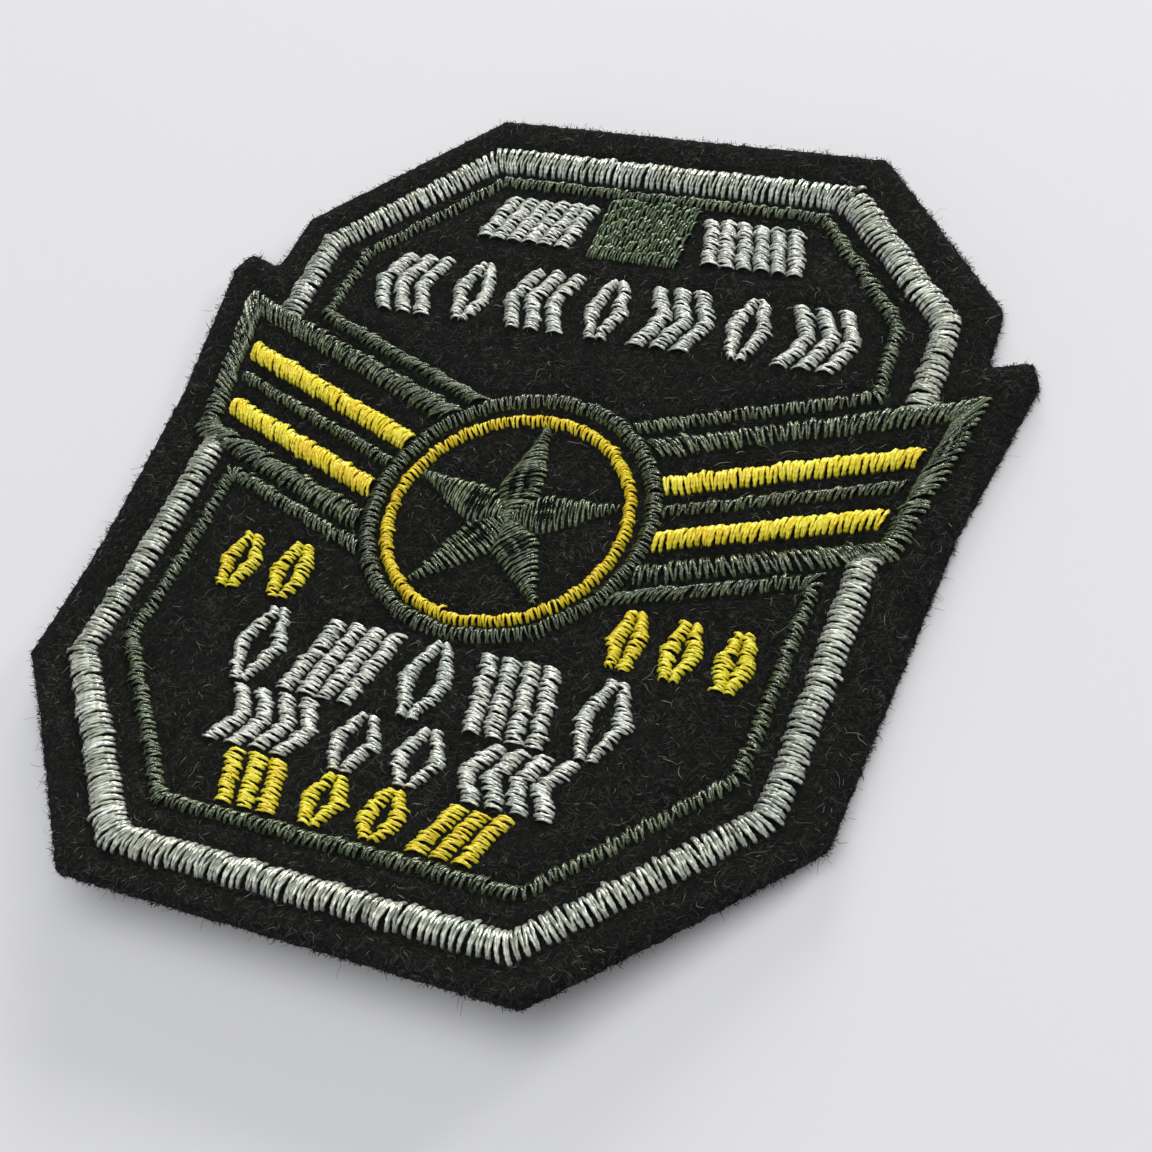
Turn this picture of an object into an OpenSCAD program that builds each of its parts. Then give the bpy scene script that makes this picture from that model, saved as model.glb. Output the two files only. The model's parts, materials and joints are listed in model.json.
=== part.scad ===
// Embroidered felt patch: a cut felt panel with two wings, carrying satin-stitched borders, wing
// bars, a star in two rings and rows of plain ornament. It lies on its flat back, head towards +Y.
// The foot of the panel curls up a little. Lengths are in millimetres, and plan points are
// measured from the centre of the star.

/* [Felt panel] */
// Width across the two wing tips
patch_w = 86.6; // [75:0.1:110]
// Length from the centre of the star to the head edge
head_l = 51.2; // [46:0.1:65]
// Length from the centre of the star to the foot edge
foot_l = 45.9; // [41:0.1:60]
// Thickness of the felt
felt_t = 1.5; // [1:0.1:3]
// Radius of the rounded corners of the cut edge
corner_r = 0.7; // [0.4:0.1:2]
// Radius to which the foot of the panel curls up, at its back
curl_r = 158; // [110:1:500]
// Distance from the centre of the star down to where the curl starts
curl_start = 6; // [3:0.5:20]

/* [Stitched columns] */
// Clearance between the felt and what is stitched on it
seat_gap = 0.05; // [0.02:0.01:0.2]
// Clearance between two stitched pieces that meet
butt_gap = 0.15; // [0.12:0.01:0.3]
// Height of a column's edge, where the threads enter the felt
rim_h = 0.2; // [0.1:0.05:0.3]
// Width of the silver border
border_w = 2.75; // [2:0.05:3.4]
// Height of the silver border
border_h = 0.9; // [0.5:0.05:1.4]
// Width of the thin inner line
line_w = 1.3; // [0.8:0.05:1.8]
// Height of the thin inner line
line_h = 0.5; // [0.35:0.05:1]

/* [Wings] */
// Width of the wing outline
wing_w = 2; // [1.4:0.05:2.4]
// Height of the wing outline
wing_h = 0.65; // [0.4:0.05:1.1]
// Width of a yellow wing bar
bar_w = 2; // [1.2:0.05:2.3]
// Height of a yellow wing bar
bar_h = 0.8; // [0.5:0.05:1.2]
// Width of the line between the two bars
mid_w = 1.1; // [0.7:0.05:1.6]
// Height of the line between the two bars
mid_h = 0.5; // [0.35:0.05:1]
// Space between the bars' outer ends and the wing outline
bar_end_gap = 0.9; // [0.3:0.05:2]
// Space between the wing outline and the inner line of the upper panel
upper_gap = 1.2; // [0.3:0.05:1.8]
// Space between the wing outline and the inner line of the lower panel
lower_gap = 0.75; // [0.3:0.05:1.5]
// Angle round the ring at which the wing's top line meets it
wing_head_angle = 43.5; // [35:0.5:47]
// Angle round the ring at which the wing's bottom line meets it
wing_foot_angle = -15.5; // [-20:0.5:-10]

/* [Star and rings] */
// Radius of the star at its tips
star_r = 10.7; // [8:0.1:12]
// Height of a star arm at its ridge
star_h = 0.7; // [0.4:0.05:1.1]
// Width of a star arm at its tip
star_tip_w = 0.35; // [0.25:0.05:0.8]
// Space between two neighbouring star arms
star_seam = 0.12; // [0.1:0.01:0.3]
// Space between the star's tips and the yellow ring
star_gap = 0.4; // [0.2:0.05:2]
// Width of the yellow ring
hoop_w = 1.15; // [0.8:0.05:1.6]
// Height of the yellow ring
hoop_h = 0.65; // [0.4:0.05:1]
// Narrowest space between the yellow ring and the olive ring, at the foot
ring_gap = 0.25; // [0.15:0.05:1]
// How much higher the olive ring's centre lies than the star's
ring_lift = 0.45; // [0:0.05:0.6]
// Width of the olive ring
ring_w = 1.6; // [1:0.05:2]
// Height of the olive ring
ring_h = 0.6; // [0.4:0.05:1]

/* [Ornament rows] */
// Width of an ornament's stroke
mark_w = 1.5; // [0.8:0.05:1.8]
// Height of an ornament's stroke
mark_h = 0.65; // [0.4:0.05:1]
// Sideways swing of a slanted bar or a chevron
mark_swing = 1.7; // [0.8:0.1:2.2]
// Space between two groups of ornament in a row
group_gap = 1.3; // [0.8:0.1:1.8]
// Space above and below each row of the lower panel
row_gap = 0.5; // [0.2:0.05:1]
// Height of the two yellow side rows
side_row_h = 6.2; // [4:0.1:7.5]
// Width of the green block at the head
block_w = 9.8; // [7:0.1:11]
// Height of the green block above the felt
block_h = 0.5; // [0.3:0.05:0.9]

/* [Hidden] */

FELT = "#1d1e1d";
SILVER = "#cfd6cd";
OLIVE = "#3c4a38";
GREEN = "#35592f";
YELLOW = "#e3bd10";

// The patch lies with the middle of its length at the origin
star_y = (foot_l - head_l) / 2;
half_w = patch_w / 2;

// One side of the felt's cut edge. Columns: share of the half width, share of the length above
// the star (positive) or below it (negative)
FELT_SIDE = [
    [0.499, 1.000],
    [0.875, 0.652],
    [0.884, 0.508],
    [0.977, 0.535],
    [1.000, 0.490],
    [0.935, 0.146],
    [0.912, -0.207],
    [0.898, -0.551],
    [0.496, -1.000]];
// Corners of the silver border. Columns as above, and the share of the border's full width
BORDER_HEAD = [[0.457, 0.881, 1.22], [0.776, 0.590, 0.95]];
BORDER_FOOT = [[0.780, -0.523, 0.98], [0.430, -0.904, 1.06]];
// Share of the half width at which the border ends, above and below the wing
BORDER_END = 0.778;
// Corners of the thin inner line, and the share of the half width where it turns along the wing
LINE_HEAD = [[0.412, 0.823, 0.9], [0.670, 0.575, 1]];
LINE_FOOT = [[0.695, -0.460, 1], [0.397, -0.797, 1]];
LINE_TURN_HEAD = 0.683;
LINE_TURN_FOOT = 0.695;
// Outer corners of the wing outline
WING_TIP = [0.887, 0.408];
WING_HEEL = [0.818, 0.076];
// What lies between the wing's top line (0) and its bottom line (1)
BAR_UPPER = 0.327;
MID_LINE = 0.528;
BAR_LOWER = 0.760;
// Radius of the star's valleys as a share of its tips
VALLEY = 0.365;
// Where a star arm starts, as a share of the tips' radius
STAR_HEART = 0.08;
// Crowns of a star arm at its heart, valleys, middle and tip
STAR_CROWNS = [0.7, 1, 0.9, 0.4];
// Section across a stitched column. Columns: share across, share of the height above the rim
DOME = [[0, 0], [0.12, 0.62], [0.37, 0.97], [0.63, 0.97], [0.88, 0.62], [1, 0]];
// Crown at a column's end, as a share of its full height, and how far in it is full, as a share
// of the thin line's width
END_CROWN = 0.45;
END_RUN = 0.385;
// Longest piece of a column on the curl, as a share of the curl's radius, and the pieces round a ring
BEND_STEP = 0.038;
RING_PIECES = 56;
// Steps round a rounded corner of the felt, and how far its side view runs past the outline, as a
// share of the felt's thickness
CORNER_STEP = 0.25;
SPARE = 0.7;

// Ornament strokes: sideways place at the foot, middle and head, as shares of half the swing
BARS_UP = [-1, 0, 1];
BARS_DOWN = [1, 0, -1];
POINT_LEFT = [1, -1, 1];
POINT_RIGHT = [-1, 1, -1];
LOZENGE = [0, 0, 0];
// Width of a lozenge's limb at its two ends, as a share of a stroke, and a stroke's crown there
LOZENGE_END = 0.5;
STROKE_END = 0.6;
// Ornament in each row. Columns: form, number of strokes, share of the row's width
TOP_LEFT = [[BARS_UP, 6, 1]];
TOP_RIGHT = [[BARS_DOWN, 6, 1]];
UPPER = [[POINT_LEFT, 3, 1.7], [LOZENGE, 2, 1], [POINT_LEFT, 3, 1.7], [LOZENGE, 2, 1],
    [POINT_RIGHT, 3, 1.7], [LOZENGE, 2, 1], [POINT_RIGHT, 3, 1.7]];
SIDE_LEFT = [[LOZENGE, 2, 1], [LOZENGE, 2, 1]];
SIDE_RIGHT = [[LOZENGE, 2, 1], [LOZENGE, 2, 1], [LOZENGE, 2, 1]];
MIDDLE = [[LOZENGE, 2, 1], [BARS_UP, 4, 1.8], [LOZENGE, 2, 1], [BARS_DOWN, 4, 1.8],
    [LOZENGE, 2, 1]];
LOWER = [[POINT_RIGHT, 4, 2], [LOZENGE, 2, 1], [LOZENGE, 2, 1], [POINT_LEFT, 4, 2]];
FOOT = [[BARS_DOWN, 3, 1.7], [LOZENGE, 2, 1], [LOZENGE, 2, 1], [BARS_UP, 3, 1.7]];
// Upper panel rows and the block: head edge and height as shares of the room above the ring
TOP_ROW = [0.062, 0.225];
UPPER_ROW = [0.428, 0.290];
BLOCK_LENGTH = 0.308;
// Lower panel rows: shares of the height left for them, from the top, and of the panel's width
LOWER_ROWS = [[0.420, 0.71], [0.310, 0.77], [0.270, 0.80]];
// Half widths of the upper rows as shares of the panel there
UPPER_REACH = 0.955;
TOP_REACH = 0.950;
// Space between the green block and the top rows, as a share of the block's width
BLOCK_SIDE = 0.09;
// Where a side row starts and ends between the ring and the inner line, as shares of that room
SIDE_LEFT_SPAN = [0.22, 0.80];
SIDE_RIGHT_SPAN = [0.11, 0.91];
// Middle height of the side rows, as a share of the length below the star
SIDE_ROW_Y = -0.226;

end_run = END_RUN * line_w;
spare = SPARE * felt_t;

// Radii from the star outwards
hoop_in = star_r + star_gap;
hoop_out = hoop_in + hoop_w;
ring_in = hoop_out + ring_gap + ring_lift;
ring_out = ring_in + ring_w;
RING_AT = [0, ring_lift];

function mix(a, b, share) = a + (b - a) * share;
function unit(v) = v / norm(v);
function left_of(v) = [-v.y, v.x];
// A table's point on the patch
function placed(row) = [row[0] * half_w, row[1] * (row[1] > 0 ? head_l : foot_l)];
function at_angle(r, a) = [r * cos(a), r * sin(a)];
// Height of the felt's face at a place along the length
function face_z(y) = curl_r - sqrt(pow(curl_r - felt_t, 2) - pow(max(0, -curl_start - y), 2));

// A column is a list of stations: left x and y, right x and y, share of the crown
function station(left, right, crown = 1) = [left.x, left.y, right.x, right.y, crown];
function level(x, y, w, crown = 1) = [x - w / 2, y, x + w / 2, y, crown];

// Stations along a path of corners, mitred. Columns of a corner: x, y, width
function heading(path, i) = unit([path[i + 1].x - path[i].x, path[i + 1].y - path[i].y]);
function mitred(path) = [for (i = [0 : len(path) - 1])
    let (before = heading(path, max(0, i - 1)),
        after = heading(path, min(len(path) - 2, i)),
        across = left_of(before + after) / (1 + before * after) * path[i][2] / 2,
        p = [path[i].x, path[i].y])
    station(p + across, p - across)];
function with_ends(stations, first, last) =
    [for (i = [0 : len(stations) - 1]) i == 0 ? first : i == len(stations) - 1 ? last : stations[i]];

// Lower, rounded ends, and more stations where the felt curls
function run_l(a, b) = norm([a[0] + a[2] - b[0] - b[2], a[1] + a[3] - b[1] - b[3]]) / 2;
function lowered(s) = [s[0], s[1], s[2], s[3], s[4] * END_CROWN];
function ended(st) = let (n = len(st) - 1) concat(
    [lowered(st[0]), mix(st[0], st[1], end_run / run_l(st[0], st[1]))],
    [for (i = [1 : 1 : n - 1]) st[i]],
    [mix(st[n], st[n - 1], end_run / run_l(st[n], st[n - 1])), lowered(st[n])]);
function pieces(a, b) = min(a[1], b[1]) > -curl_start ? 1
    : max(1, ceil(abs(a[1] - b[1]) / (BEND_STEP * curl_r)));
function divided(st) = concat(
    [for (i = [0 : len(st) - 2]) let (n = pieces(st[i], st[i + 1]))
        for (k = [0 : n - 1]) mix(st[i], st[i + 1], k / n)],
    [st[len(st) - 1]]);

// Section of a column at one station, from the left foot over the crown to the right foot
function on_felt(p, h) = [p.x, p.y, face_z(p.y) + seat_gap + h];
function section(s, height) = let (left = [s[0], s[1]], right = [s[2], s[3]]) concat(
    [on_felt(left, 0)],
    [for (d = DOME) on_felt(mix(left, right, d[0]), rim_h + (height - rim_h) * s[4] * d[1])],
    [on_felt(right, 0)]);

module column(stations, height, closed = false) {
    n = len(stations);
    k = len(DOME) + 2;
    sides = [for (i = [0 : n - (closed ? 1 : 2)], j = [0 : k - 1])
        let (a = i * k, b = (i + 1) % n * k, up = (j + 1) % k)
        each [[a + j, b + j, b + up], [a + j, b + up, a + up]]];
    caps = closed ? [] : [[for (j = [0 : k - 1]) j], [for (j = [k - 1 : -1 : 0]) (n - 1) * k + j]];
    polyhedron([for (s = stations) each section(s, height)], concat(sides, caps), convexity = 8);
}

module satin(stations, height) {
    translate([0, star_y, 0]) column(divided(ended(stations)), height);
}

module round_satin(inner, outer, centre, height) {
    stations = [for (i = [0 : RING_PIECES - 1]) let (a = -360 * i / RING_PIECES)
        station(centre + at_angle(outer, a), centre + at_angle(inner, a))];
    translate([0, star_y, 0]) column(stations, height, closed = true);
}

// Wing lines, for the right-hand side
wing_tip = placed(WING_TIP);
wing_heel = placed(WING_HEEL);
wing_head_in = RING_AT + at_angle(ring_out, wing_head_angle);
wing_foot_in = RING_AT + at_angle(ring_out, wing_foot_angle);

// Where a line from outside first meets the clearance round the olive ring
function ring_stop(from, dir) = let (m = from - RING_AT, b = m * dir,
        c = m * m - pow(ring_out + butt_gap, 2))
    from - dir * (b + sqrt(b * b - c));
// Station that ends a column of some width on the ring, coming in from an outer point
function ring_end(outer, inner, w) = let (dir = unit(inner - outer), across = left_of(dir) * w / 2)
    station(ring_stop(outer + across, dir), ring_stop(outer - across, dir));
function swapped(s) = [s[2], s[3], s[0], s[1], s[4]];

// Height of the line through two points at some x
function line_y(a, b, x) = mix(a.y, b.y, (x - a.x) / (b.x - a.x));
function line_x(a, b, y) = mix(a.x, b.x, (y - a.y) / (b.y - a.y));
// Upright distance that keeps a clear space beside a slanted line
function beside(a, b, space) = space * norm(b - a) / abs(b.x - a.x);
function wing_head_y(x) = line_y(wing_head_in, wing_tip, x);
function wing_foot_y(x) = line_y(wing_foot_in, wing_heel, x);
function above_wing(x, space) = wing_head_y(x)
    + beside(wing_head_in, wing_tip, wing_w / 2 + space);
function below_wing(x, space) = wing_foot_y(x)
    - beside(wing_foot_in, wing_heel, wing_w / 2 + space);
// A line between the wing's top line and its bottom line
function wing_inner(share) = mix(wing_head_in, wing_foot_in, share);
function wing_outer(share) = mix(wing_tip, wing_heel, share);
// End of a bar, cut along the wing's outer line
function bar_stop(share, w) = let (a = wing_inner(share), b = wing_outer(share),
        dir = unit(b - a), edge = unit(wing_tip - wing_heel),
        back = (wing_w / 2 + bar_end_gap) / abs(left_of(edge) * dir),
        p = b - dir * back, slide = edge * (w / 2) / abs(edge * left_of(dir)))
    station(p + slide, p - slide);

module on_side(right) {
    mirror([right ? 0 : 1, 0, 0]) children();
}

module wing_outline(right) {
    path = [[wing_head_in.x, wing_head_in.y, wing_w], [wing_tip.x, wing_tip.y, wing_w],
        [wing_heel.x, wing_heel.y, wing_w], [wing_foot_in.x, wing_foot_in.y, wing_w]];
    color(OLIVE) on_side(right) satin(with_ends(mitred(path),
        swapped(ring_end(wing_tip, wing_head_in, wing_w)),
        ring_end(wing_heel, wing_foot_in, wing_w)), wing_h);
}

module wing_line(right, share, w, h, hue) {
    color(hue) on_side(right) satin([
        swapped(ring_end(wing_outer(share), wing_inner(share), w)),
        bar_stop(share, w)], h);
}

// A symmetric path from one table of corners for the right-hand side, listed from its right end
function both_sides(corners) = concat(corners,
    [for (i = [len(corners) - 1 : -1 : 0]) [-corners[i].x, corners[i].y, corners[i][2]]]);
function mirrored(s) = [-s[0], s[1], -s[2], s[3], s[4]];
function corner_row(row, w) = let (p = placed(row)) [p.x, p.y, row[2] * w];

module silver_border_upper() {
    x = BORDER_END * half_w;
    start = [x, wing_head_y(x), border_w];
    path = both_sides([start, corner_row(BORDER_HEAD[1], border_w),
        corner_row(BORDER_HEAD[0], border_w)]);
    first = station([x - border_w / 2, above_wing(x - border_w / 2, butt_gap)],
        [x + border_w / 2, above_wing(x + border_w / 2, butt_gap)]);
    color(SILVER) satin(with_ends(mitred(path), first, mirrored(first)), border_h);
}

module silver_border_lower() {
    x = BORDER_END * half_w;
    start = [x, wing_foot_y(x), border_w];
    path = both_sides([start, corner_row(BORDER_FOOT[0], border_w),
        corner_row(BORDER_FOOT[1], border_w)]);
    first = station([x + border_w / 2, below_wing(x + border_w / 2, butt_gap)],
        [x - border_w / 2, below_wing(x - border_w / 2, butt_gap)]);
    color(SILVER) satin(with_ends(mitred(path), first, mirrored(first)), border_h);
}

// Corners of the inner lines, from the ring outwards and round to the middle
line_head_x = LINE_TURN_HEAD * half_w;
line_foot_x = LINE_TURN_FOOT * half_w;
line_head_turn = [line_head_x, above_wing(line_head_x, upper_gap + line_w / 2)];
line_foot_turn = [line_foot_x, below_wing(line_foot_x, lower_gap + line_w / 2)];
line_head_in = line_head_turn + wing_head_in - wing_tip;
line_foot_in = line_foot_turn + wing_foot_in - wing_heel;

module inner_line(turn, inner, corners) {
    path = both_sides([[inner.x, inner.y, line_w], [turn.x, turn.y, line_w],
        corner_row(corners[0], line_w), corner_row(corners[1], line_w)]);
    first = swapped(ring_end(turn, inner, line_w));
    color(OLIVE) satin(with_ends(mitred(path), first, mirrored(first)), line_h);
}

// Width of a fifth of the star at some height above its centre, less the seam
function wedge_w(y) = 2 * y * tan(36) - star_seam / cos(36);

module star_arm(turn) {
    valley_y = VALLEY * star_r * cos(36);
    heart_y = STAR_HEART * star_r;
    color(OLIVE) translate([0, star_y, 0]) rotate(turn) column([
        level(0, heart_y, wedge_w(heart_y), STAR_CROWNS[0]),
        level(0, valley_y, wedge_w(valley_y), STAR_CROWNS[1]),
        level(0, (valley_y + star_r) / 2, (wedge_w(valley_y) + star_tip_w) / 2, STAR_CROWNS[2]),
        level(0, star_r, star_tip_w, STAR_CROWNS[3])], star_h);
}

// Half the clear width of a panel at some height: between the inner line's two slanted edges
function clear_half(a, b, y) = line_x(a, b, y) - line_w / 2 * norm(b - a) / abs(b.y - a.y);
function head_half(y) = min(clear_half(placed(LINE_HEAD[0]), placed(LINE_HEAD[1]), y),
    line_head_x - line_w / 2);
function foot_half(y) = min(clear_half(placed(LINE_FOOT[1]), placed(LINE_FOOT[0]), y),
    line_foot_x - line_w / 2);

// Heights of the rows
head_line_y = placed(LINE_HEAD[0]).y - LINE_HEAD[0][2] * line_w / 2;
foot_line_y = placed(LINE_FOOT[1]).y + line_w / 2;
head_room = head_line_y - (ring_lift + ring_out);
foot_room = ring_lift - ring_out - foot_line_y - (len(LOWER_ROWS) + 1) * row_gap;
function head_row(row) = let (top = head_line_y - row[0] * head_room) [top - row[1] * head_room, top];
function before(i) = i == 0 ? 0 : LOWER_ROWS[i - 1][0] + before(i - 1);
function foot_row(i) = let (top = ring_lift - ring_out - (i + 1) * row_gap - before(i) * foot_room)
    [top - LOWER_ROWS[i][0] * foot_room, top];
side_row = [SIDE_ROW_Y * foot_l - side_row_h / 2, SIDE_ROW_Y * foot_l + side_row_h / 2];
side_in = sqrt(pow(ring_out, 2) - pow(side_row[1] - ring_lift, 2));

// One stroke of ornament between two heights. Its places are its middle at foot, middle and head
module stroke(xs, ys, widths) {
    mid = (ys[0] + ys[1]) / 2;
    translate([0, star_y, 0]) column([
        level(xs[0], ys[0], widths[0], STROKE_END),
        level(xs[1], mid, widths[1], 1),
        level(xs[2], ys[1], widths[0], STROKE_END)], mark_h);
}

module group(form, count, from, to, ys) {
    if (form == LOZENGE) {
        middle = (from + to) / 2;
        tip = (LOZENGE_END * mark_w + butt_gap) / 2;
        for (side = [-1, 1])
            stroke([middle + side * tip, middle + side * (to - from - mark_w) / 2, middle + side * tip],
                ys, [LOZENGE_END * mark_w, mark_w]);
    } else {
        first = from + (mark_w + mark_swing) / 2;
        last = to - (mark_w + mark_swing) / 2;
        for (i = [0 : count - 1])
            stroke([for (f = form) mix(first, last, i / (count - 1)) + f * mark_swing / 2],
                ys, [mark_w, mark_w]);
    }
}

function shares(groups, n) = n == 0 ? 0 : groups[n - 1][2] + shares(groups, n - 1);

module row(groups, from, to, ys, hue) {
    n = len(groups);
    room = to - from - (n - 1) * group_gap;
    unit_w = room / shares(groups, n);
    color(hue) for (i = [0 : n - 1]) {
        start = from + shares(groups, i) * unit_w + i * group_gap;
        group(groups[i][0], groups[i][1], start, start + groups[i][2] * unit_w, ys);
    }
}

module top_row(groups, right) {
    ys = head_row(TOP_ROW);
    from = block_w * (0.5 + BLOCK_SIDE);
    to = TOP_REACH * head_half(ys[1]);
    if (right) row(groups, from, to, ys, SILVER);
    else row(groups, -to, -from, ys, SILVER);
}

module side_row(groups, span, right) {
    outer = line_foot_x - line_w / 2;
    from = mix(side_in, outer, span[0]);
    to = mix(side_in, outer, span[1]);
    if (right) row(groups, from, to, side_row, YELLOW);
    else row(groups, -to, -from, side_row, YELLOW);
}

module panel_row(groups, i, hue) {
    ys = foot_row(i);
    reach = LOWER_ROWS[i][1] * foot_half(ys[0]);
    row(groups, -reach, reach, ys, hue);
}

module row_upper() {
    ys = head_row(UPPER_ROW);
    reach = UPPER_REACH * head_half(ys[1]);
    row(UPPER, -reach, reach, ys, SILVER);
}

module green_block() {
    top = head_line_y - butt_gap;
    bottom = top - BLOCK_LENGTH * head_room;
    color(GREEN) satin([level(0, bottom, block_w), level(0, top, block_w)], block_h);
}

// Rounds one corner of the felt's edge with a short arc of straight pieces
function rounded(before, p, after, r) = let (u = unit(before - p), v = unit(after - p),
        half = acos(u * v) / 2, cut = r / tan(half), centre = p + unit(u + v) * r / sin(half),
        a = p + u * cut - centre, b = p + v * cut - centre)
    [for (s = [0 : CORNER_STEP : 1]) centre + r * unit(mix(a, b, s))];
function rounded_all(pts, r) = let (n = len(pts))
    [for (i = [0 : n - 1]) each rounded(pts[(i + n - 1) % n], pts[i], pts[(i + 1) % n], r)];

module felt_outline() {
    side = [for (row = FELT_SIDE) placed(row)];
    other = [for (i = [len(side) - 1 : -1 : 0]) [-side[i].x, side[i].y]];
    polygon(rounded_all(concat(side, other), corner_r));
}

// The felt seen from its side: a flat sheet, and an arc where the foot curls up
module felt_profile() {
    translate([-curl_start, 0]) square([head_l + curl_start + spare, felt_t]);
    intersection() {
        difference() {
            translate([-curl_start, curl_r]) circle(curl_r, $fn = 720);
            translate([-curl_start, curl_r]) circle(curl_r - felt_t, $fn = 720);
        }
        translate([-foot_l - spare, 0]) square([foot_l + spare - curl_start, foot_l]);
    }
}

module felt_base() {
    color(FELT) translate([0, star_y, 0]) intersection() {
        linear_extrude(foot_l) felt_outline();
        translate([-patch_w, 0, 0]) rotate([90, 0, 90]) linear_extrude(2 * patch_w) felt_profile();
    }
}

felt_base();
silver_border_upper();
silver_border_lower();
inner_line(line_head_turn, line_head_in, [LINE_HEAD[1], LINE_HEAD[0]]);  // inner_line_upper
inner_line(line_foot_turn, line_foot_in, LINE_FOOT);  // inner_line_lower
wing_outline(false);  // wing_outline_left
wing_outline(true);  // wing_outline_right
wing_line(false, MID_LINE, mid_w, mid_h, OLIVE);  // wing_mid_line_left
wing_line(true, MID_LINE, mid_w, mid_h, OLIVE);  // wing_mid_line_right
wing_line(false, BAR_UPPER, bar_w, bar_h, YELLOW);  // yellow_bar_upper_left
wing_line(true, BAR_UPPER, bar_w, bar_h, YELLOW);  // yellow_bar_upper_right
wing_line(false, BAR_LOWER, bar_w, bar_h, YELLOW);  // yellow_bar_lower_left
wing_line(true, BAR_LOWER, bar_w, bar_h, YELLOW);  // yellow_bar_lower_right
color(OLIVE) round_satin(ring_in, ring_out, RING_AT, ring_h);  // olive_ring
color(YELLOW) round_satin(hoop_in, hoop_out, [0, 0], hoop_h);  // yellow_ring
star_arm(0);  // star_arm_top
star_arm(72);  // star_arm_upper_left
star_arm(144);  // star_arm_lower_left
star_arm(216);  // star_arm_lower_right
star_arm(288);  // star_arm_upper_right
green_block();
top_row(TOP_LEFT, false);  // row_top_left
top_row(TOP_RIGHT, true);  // row_top_right
row_upper();
side_row(SIDE_LEFT, SIDE_LEFT_SPAN, false);  // row_side_left
side_row(SIDE_RIGHT, SIDE_RIGHT_SPAN, true);  // row_side_right
panel_row(MIDDLE, 0, SILVER);  // row_middle
panel_row(LOWER, 1, SILVER);  // row_lower
panel_row(FOOT, 2, YELLOW);  // row_foot
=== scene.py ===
# %% [markdown]
# # An embroidered felt patch, thread by thread
# The real patch is a sheet of dark wool felt, cut to a long octagon with two wings and stitched by
# machine in glossy rayon thread. Its foot curls up a little, because the stitching pulls on the felt.
# A picture of stitching could be faked with bump on smooth bands, but from close by an eye looks for
# single threads, ragged rims and gaps. So each stitch here is a small tube of real geometry, laid
# between two needle holes, and the felt gets a nap of fibres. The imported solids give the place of
# every band, and this script works out the same plan from the same few sizes.

import json
import math

import bpy
import numpy as np
from mathutils import Matrix, Vector, geometry, kdtree, noise


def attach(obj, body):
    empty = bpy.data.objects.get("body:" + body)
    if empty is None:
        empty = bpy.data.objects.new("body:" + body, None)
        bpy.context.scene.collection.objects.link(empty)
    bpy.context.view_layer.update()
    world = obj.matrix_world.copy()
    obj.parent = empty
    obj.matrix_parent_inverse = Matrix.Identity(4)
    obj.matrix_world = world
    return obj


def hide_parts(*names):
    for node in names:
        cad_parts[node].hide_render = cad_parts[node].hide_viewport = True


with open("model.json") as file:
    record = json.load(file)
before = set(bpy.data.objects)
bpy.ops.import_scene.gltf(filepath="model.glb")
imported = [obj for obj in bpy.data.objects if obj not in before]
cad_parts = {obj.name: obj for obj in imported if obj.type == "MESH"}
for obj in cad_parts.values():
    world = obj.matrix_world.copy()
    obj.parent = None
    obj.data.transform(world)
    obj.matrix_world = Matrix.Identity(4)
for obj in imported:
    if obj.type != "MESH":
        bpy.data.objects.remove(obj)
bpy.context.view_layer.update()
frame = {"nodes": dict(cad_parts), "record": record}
MM = 0.001
print("solids in the frame:", len(frame["nodes"]))

# %% [markdown]
# ## The plan
# Embroidery is drawn flat before it is sewn. Points of the plan are measured from the centre of the
# star, because the rings, the wings and both panels are laid out round it. Corners are shares of
# the half width and of the length above or below the star, so the tables stay readable and the whole
# plan follows a few driving sizes.

# %% Driving sizes of the felt
PATCH_W = 86.6 * MM
HEAD_L = 51.2 * MM
FOOT_L = 45.9 * MM
FELT_T = 1.5 * MM
CURL_R = 158 * MM
CURL_START = 6 * MM
HALF_W = PATCH_W / 2
STAR_Y = (FOOT_L - HEAD_L) / 2


def placed(share_x, share_y):
    """A point of the plan, from its shares of the half width and of the length."""
    return np.array([share_x * HALF_W, share_y * (HEAD_L if share_y > 0 else FOOT_L)])


def curled(y, radius):
    """Height at plan place y of a sheet that is flat, then curls up on an arc of this radius."""
    past = np.maximum(0.0, -CURL_START - np.asarray(y, float))
    return CURL_R - np.sqrt(radius**2 - past**2)


def back_z(y):
    """Height of the felt's back at plan place y."""
    return curled(y, CURL_R)


def face_z(y):
    """Height of the felt's face at plan place y."""
    return curled(y, CURL_R - FELT_T)


print("foot edge of the face lies at", round(float(face_z(-FOOT_L)) / MM, 2), "mm")

# %% Small helpers for plan points


def unit(v):
    return v / np.linalg.norm(v)


def units(vectors):
    """Many vectors at once, each brought to length one."""
    return vectors / np.linalg.norm(vectors, axis=-1, keepdims=True)


def left_of(v):
    """What lies square to the left of a plan vector, or of each of many."""
    return np.stack([-v[..., 1], v[..., 0]], axis=-1)


def distances(points):
    """How far along a line each of its points lies."""
    steps = np.linalg.norm(np.diff(points, axis=0), axis=1)
    return np.concatenate([[0.0], np.cumsum(steps)])


def mix(a, b, share):
    return a + (b - a) * share


def at_angle(radius, degrees):
    """A point at some distance and angle, anticlockwise from +X."""
    turn = math.radians(degrees)
    return np.array([radius * math.cos(turn), radius * math.sin(turn)])


print("what lies square to the left of +X:", left_of(np.array([1.0, 0.0])))

# %% [markdown]
# ## Bands of satin stitch
# A satin band is a zigzag between two rails. Here a band is a list of cuts, each with a left point
# and a right point, and threads are laid between the rails later. At a corner a machine turns the
# stitches over the last few millimetres, so a cut that is square to the band stands before and
# after each mitred one. Where a band fans out all the way, as on the wings, those are left out.

# %% Cuts along a path with corners


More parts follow.
